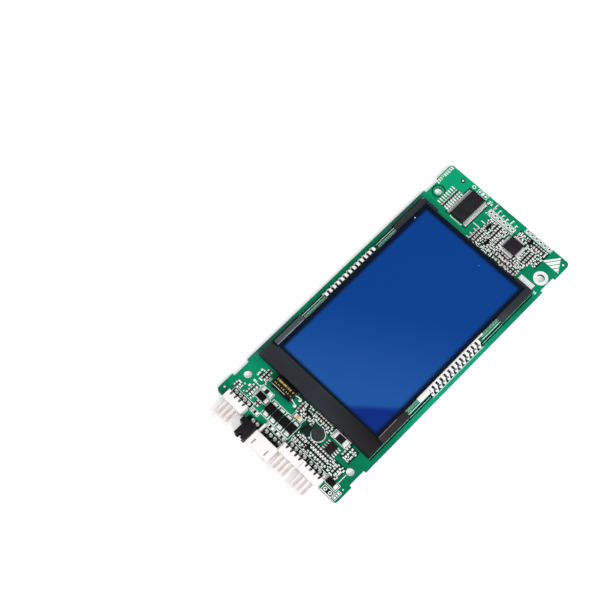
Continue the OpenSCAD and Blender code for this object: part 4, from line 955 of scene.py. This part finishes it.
# labels and short marks thrown on what is free, each at its own size: lengths and depths
throwPlan = {
    "label": ((1.2, 2.3), (0.7, 1.0)), "mark": ((0.6, 1.2), (0.4, 0.7)), "markEvery": 3,
    "lying": 0.55, "crowded": 20, "crowdedRoom": 0.06, "room": 0.12,
    "zones": [(-5.0, 53.6, 6.2, 69.2, 30), (4.5, 53.6, 22.2, 61.6, 30),
              (15.4, 58.0, 26.2, 73.5, 22), (9.4, 68.6, 16.0, 73.4, 30),
              (-11.0, 72.8, -8.0, 75.4, 20), (-28.4, -60.2, -21.4, -55.0, 5),
              (-27.4, -69.4, -21.4, -60.9, 6), (-32.0, -69.4, -28.4, -65.6, 8),
              (-5.0, -59.6, 5.6, -52.8, 24), (2.6, -70.6, 29.2, -62.8, 20),
              (4.0, -57.0, 16.0, -52.8, 20), (23.0, -60.2, 28.2, -53.4, 12),
              (-19.4, -73.6, -13.6, -70.6, 12), (-9.6, -75.8, 2.2, -70.6, 14),
              (5.0, -62.6, 8.4, -60.4, 20)],  # the last figure is how closely it is filled
}
labels = 0
for x0, y0, x1, y1, close in throwPlan["zones"]:
    room = throwPlan["crowdedRoom" if close > throwPlan["crowded"] else "room"]
    for i in range(int((x1 - x0) * (y1 - y0) * close)):
        isLabel = i % throwPlan["markEvery"] > 0
        lengths, depths = throwPlan["label" if isLabel else "mark"]
        length, depth = dice.uniform(*lengths), dice.uniform(*depths)
        wide, tall = (length, depth) if dice.random() < throwPlan["lying"] else (depth, length)
        x, y = dice.uniform(x0, x1 - wide), dice.uniform(y0, y1 - tall)
        if isFree(x, y, x + wide, y + tall, room):
            (printLabel if isLabel else printBar)(x, y, x + wide, y + tall)
            labels += 1
addPiece("board_print", inkMesh, printInk, smooth=30)
print("print done:", labels, "labels")

# tracks on the clear ledge, a painted highlight on the edge of its glass, and the line on the board
# along the frame
ledgePlan = {
    "runs": [(20.6, 33.5), (-27.0, -12.8)], "inner": 0.25, "step": 0.3, "line": 0.14, "rows": 5,
    "stagger": 0.12, "lift": 0.012, "edgeOut": 0.03, "edgeIn": 0.16, "edgeLift": 0.01,
    "lineFrom": 32.95,  # wider beside the ledges
    "lines": [(-52.4, -27.2, 0.14), (-26.8, -13.6, 0.26), (20.4, 33.2, 0.26), (33.6, 53.0, 0.14)],
}
glassLow, glassHigh = boxOf("rear_glass")
faceHigh = boxOf("front_glass")[1]
trackMesh, edgeMesh, lineMesh = bmesh.new(), bmesh.new(), bmesh.new()
for sign in (-1, 1):
    for y0, y1 in ledgePlan["runs"]:
        for row in range(ledgePlan["rows"]):
            a = sign * (faceHigh.x + ledgePlan["inner"] + row * ledgePlan["step"])
            back = row * ledgePlan["stagger"]
            addBox(trackMesh, a, y0 + back, a + sign * ledgePlan["line"], y1 - back,
                   glassHigh.z, glassHigh.z + ledgePlan["lift"])
        a = sign * glassHigh.x
        addBox(edgeMesh, a, y0, a + sign * ledgePlan["edgeOut"], y1, glassLow.z, glassHigh.z)
        addBox(edgeMesh, a, y0, a - sign * ledgePlan["edgeIn"], y1,
               glassHigh.z, glassHigh.z + ledgePlan["edgeLift"])
    for y0, y1, wide in ledgePlan["lines"]:
        a = ledgePlan["lineFrom"]
        addBox(lineMesh, sign * a, y0, sign * (a + wide), y1, top, inkTop)
addPiece("frame_lines", lineMesh, mintInk)
addPiece("ledge_tracks", trackMesh, trackFilm)
addPiece("ledge_edge_highlights", edgeMesh, glassEdgeHighlight)
print("ledge details done")

# painted highlights along edges of the rails, and one brighter painted highlight beside the film:
# x, y and upper face
railPlan = {
    "thick": 0.1, "glint": [(-30.26, -29.92, -44.2, -28.0, 6.395)],
    "sheen": [(29.92, 30.18, -43.6, -32.6, 6.395), (-32.78, -32.39, 33.9, 53.2, 5.33)],
}
for name, finish in (("sheen", edgeSheen), ("glint", edgeGlint)):
    railMesh = bmesh.new()
    for x0, x1, y0, y1, high in railPlan[name]:
        addBox(railMesh, x0, y0, x1, y1, high - railPlan["thick"], high)
    addPiece("rail_" + name + "_edges", railMesh, finish)

# turns of wire on the two chokes, by thickness of wire
coilPlan = {
    "wires": {"choke_winding": 0.3, "small_choke_winding": 0.22},
    "fill": 0.96, "sides": 8, "steps": 36,
}
for node, wire in coilPlan["wires"].items():
    low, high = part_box(node)
    middle, half = (low + high) / 2, (high - low) / 2
    coilMesh = bmesh.new()
    count = int(2 * half.z / (wire * mm))
    for i in range(count):
        z = low.z + (i + 0.5) * 2 * half.z / count
        spot = Matrix.Translation((half.x - wire * mm / 2, 0, z))
        ring = bmesh.ops.create_circle(coilMesh, segments=coilPlan["sides"],
                                       radius=coilPlan["fill"] * half.z / count,
                                       matrix=spot @ Matrix.Rotation(math.pi / 2, 4, "X"))
        edges = dict.fromkeys(e for v in ring["verts"] for e in v.link_edges)
        bmesh.ops.spin(coilMesh, geom=ring["verts"] + list(edges), cent=(0, 0, z), axis=(0, 0, 1),
                       angle=math.tau, steps=coilPlan["steps"], use_merge=True)
    bmesh.ops.scale(coilMesh, verts=coilMesh.verts, vec=(1.0, half.y / half.x, 1.0))
    bmesh.ops.translate(coilMesh, verts=coilMesh.verts, vec=(middle.x, middle.y, 0))
    addPiece(node + "_turns", coilMesh, finishes["copper_wire"], node)
print("rail edges and coils done")

# the camera stands where the photograph was taken from
cameraPlan = {
    "turn": 44.5, "rise": 69.4, "distance": 0.559, "target": (-0.03895, -0.02135, 0.0016),
    "lens": 75.0, "sensor": 36.0, "clip": (0.01, 20.0),
}
turn, rise = math.radians(cameraPlan["turn"]), math.radians(cameraPlan["rise"])
back = Vector((math.sin(turn) * math.cos(rise), -math.cos(turn) * math.cos(rise), math.sin(rise)))
right = Vector((math.cos(turn), math.sin(turn), 0))
up = back.cross(right)
cameraData = bpy.data.cameras.new("camera")
cameraData.lens = cameraPlan["lens"]
cameraData.sensor_width = cameraPlan["sensor"]
cameraData.clip_start, cameraData.clip_end = cameraPlan["clip"]
camera = addObject("camera", cameraData)
spot = Vector(cameraPlan["target"]) + back * cameraPlan["distance"]
camera.matrix_world = Matrix.Translation(spot) @ Matrix((right, up, back)).transposed().to_4x4()
bpy.context.scene.camera = camera

# soft studio lamps, all aimed at the middle of the board
lampPlan = {
    "key": {"from": (0.62, -0.24, 0.76), "size": 0.5, "power": 8.7},
    "fill": {"from": (0.1, -0.85, 0.75), "size": 0.7, "power": 1.2},
    "rim": {"from": (-0.85, 0.26, 0.57), "size": 0.5, "power": 1.6},
}
for name, plan in lampPlan.items():
    lampData = bpy.data.lights.new(name, "AREA")
    lampData.size = plan["size"]
    lampData.energy = plan["power"]
    lamp = addObject(name, lampData)
    lamp.location = plan["from"]
    lamp.rotation_mode = "QUATERNION"
    lamp.rotation_quaternion = (-Vector(plan["from"])).to_track_quat("-Z", "Y")

# soft light from all round: white to the camera, dimmer in reflections
worldPlan = {"light": 0.4, "mirror": 0.25, "seen": 1.0}
world = bpy.data.worlds.new("studio")
world.use_nodes = True
bpy.context.scene.world = world
tree = world.node_tree
sky = tree.nodes["Background"]
path = addNode(tree, "ShaderNodeLightPath")
dim = addMath(tree, "MULTIPLY", path.outputs["Is Glossy Ray"],
              worldPlan["mirror"] - worldPlan["light"])
lift = addMath(tree, "MULTIPLY", path.outputs["Is Camera Ray"],
               worldPlan["seen"] - worldPlan["light"])
strength = addMath(tree, "ADD", addMath(tree, "ADD", dim, lift), worldPlan["light"])
tree.links.new(strength, sky.inputs["Strength"])
sky.inputs["Color"].default_value = (1, 1, 1, 1)

# pale floor just under the board's solder, which goes over to white far off
floorPlan = {
    "half": 3.0, "below": 0.0001, "tone": (0.88, 0.88, 0.89, 1), "rough": 0.9, "gloss": 0.1,
    "glow": 0.4, "far": (0.5, 1.4), "farGlow": 1.0,
}
floorMesh = bmesh.new()
bmesh.ops.create_grid(floorMesh, x_segments=1, y_segments=1, size=floorPlan["half"],
                      matrix=Matrix.Translation((0, 0, cadBox[0][2] - floorPlan["below"])))
floorData = bpy.data.meshes.new("floor")
floorMesh.to_mesh(floorData)
floorMesh.free()
floor = addObject("floor", floorData)
paper, tree, shader = newMaterial("paleFloor")
shader.inputs["Base Color"].default_value = floorPlan["tone"]
shader.inputs["Roughness"].default_value = floorPlan["rough"]
shader.inputs["Specular IOR Level"].default_value = floorPlan["gloss"]
shader.inputs["Emission Color"].default_value = (1, 1, 1, 1)
path = addNode(tree, "ShaderNodeLightPath")
seen = path.outputs["Is Camera Ray"]
for ray in ("Is Glossy Ray", "Is Transmission Ray"):
    seen = addMath(tree, "MAXIMUM", seen, path.outputs[ray])
place = addNode(tree, "ShaderNodeTexCoord")
away = addNode(tree, "ShaderNodeVectorMath", operation="LENGTH")
tree.links.new(place.outputs["Object"], away.inputs[0])
glow = addRange(tree, away.outputs["Value"], *floorPlan["far"],
                floorPlan["glow"], floorPlan["farGlow"])
tree.links.new(addMath(tree, "MULTIPLY", seen, glow), shader.inputs["Emission Strength"])
floorData.materials.append(paper)

bpy.context.scene.view_settings.view_transform = "Standard"
print("scene ready")
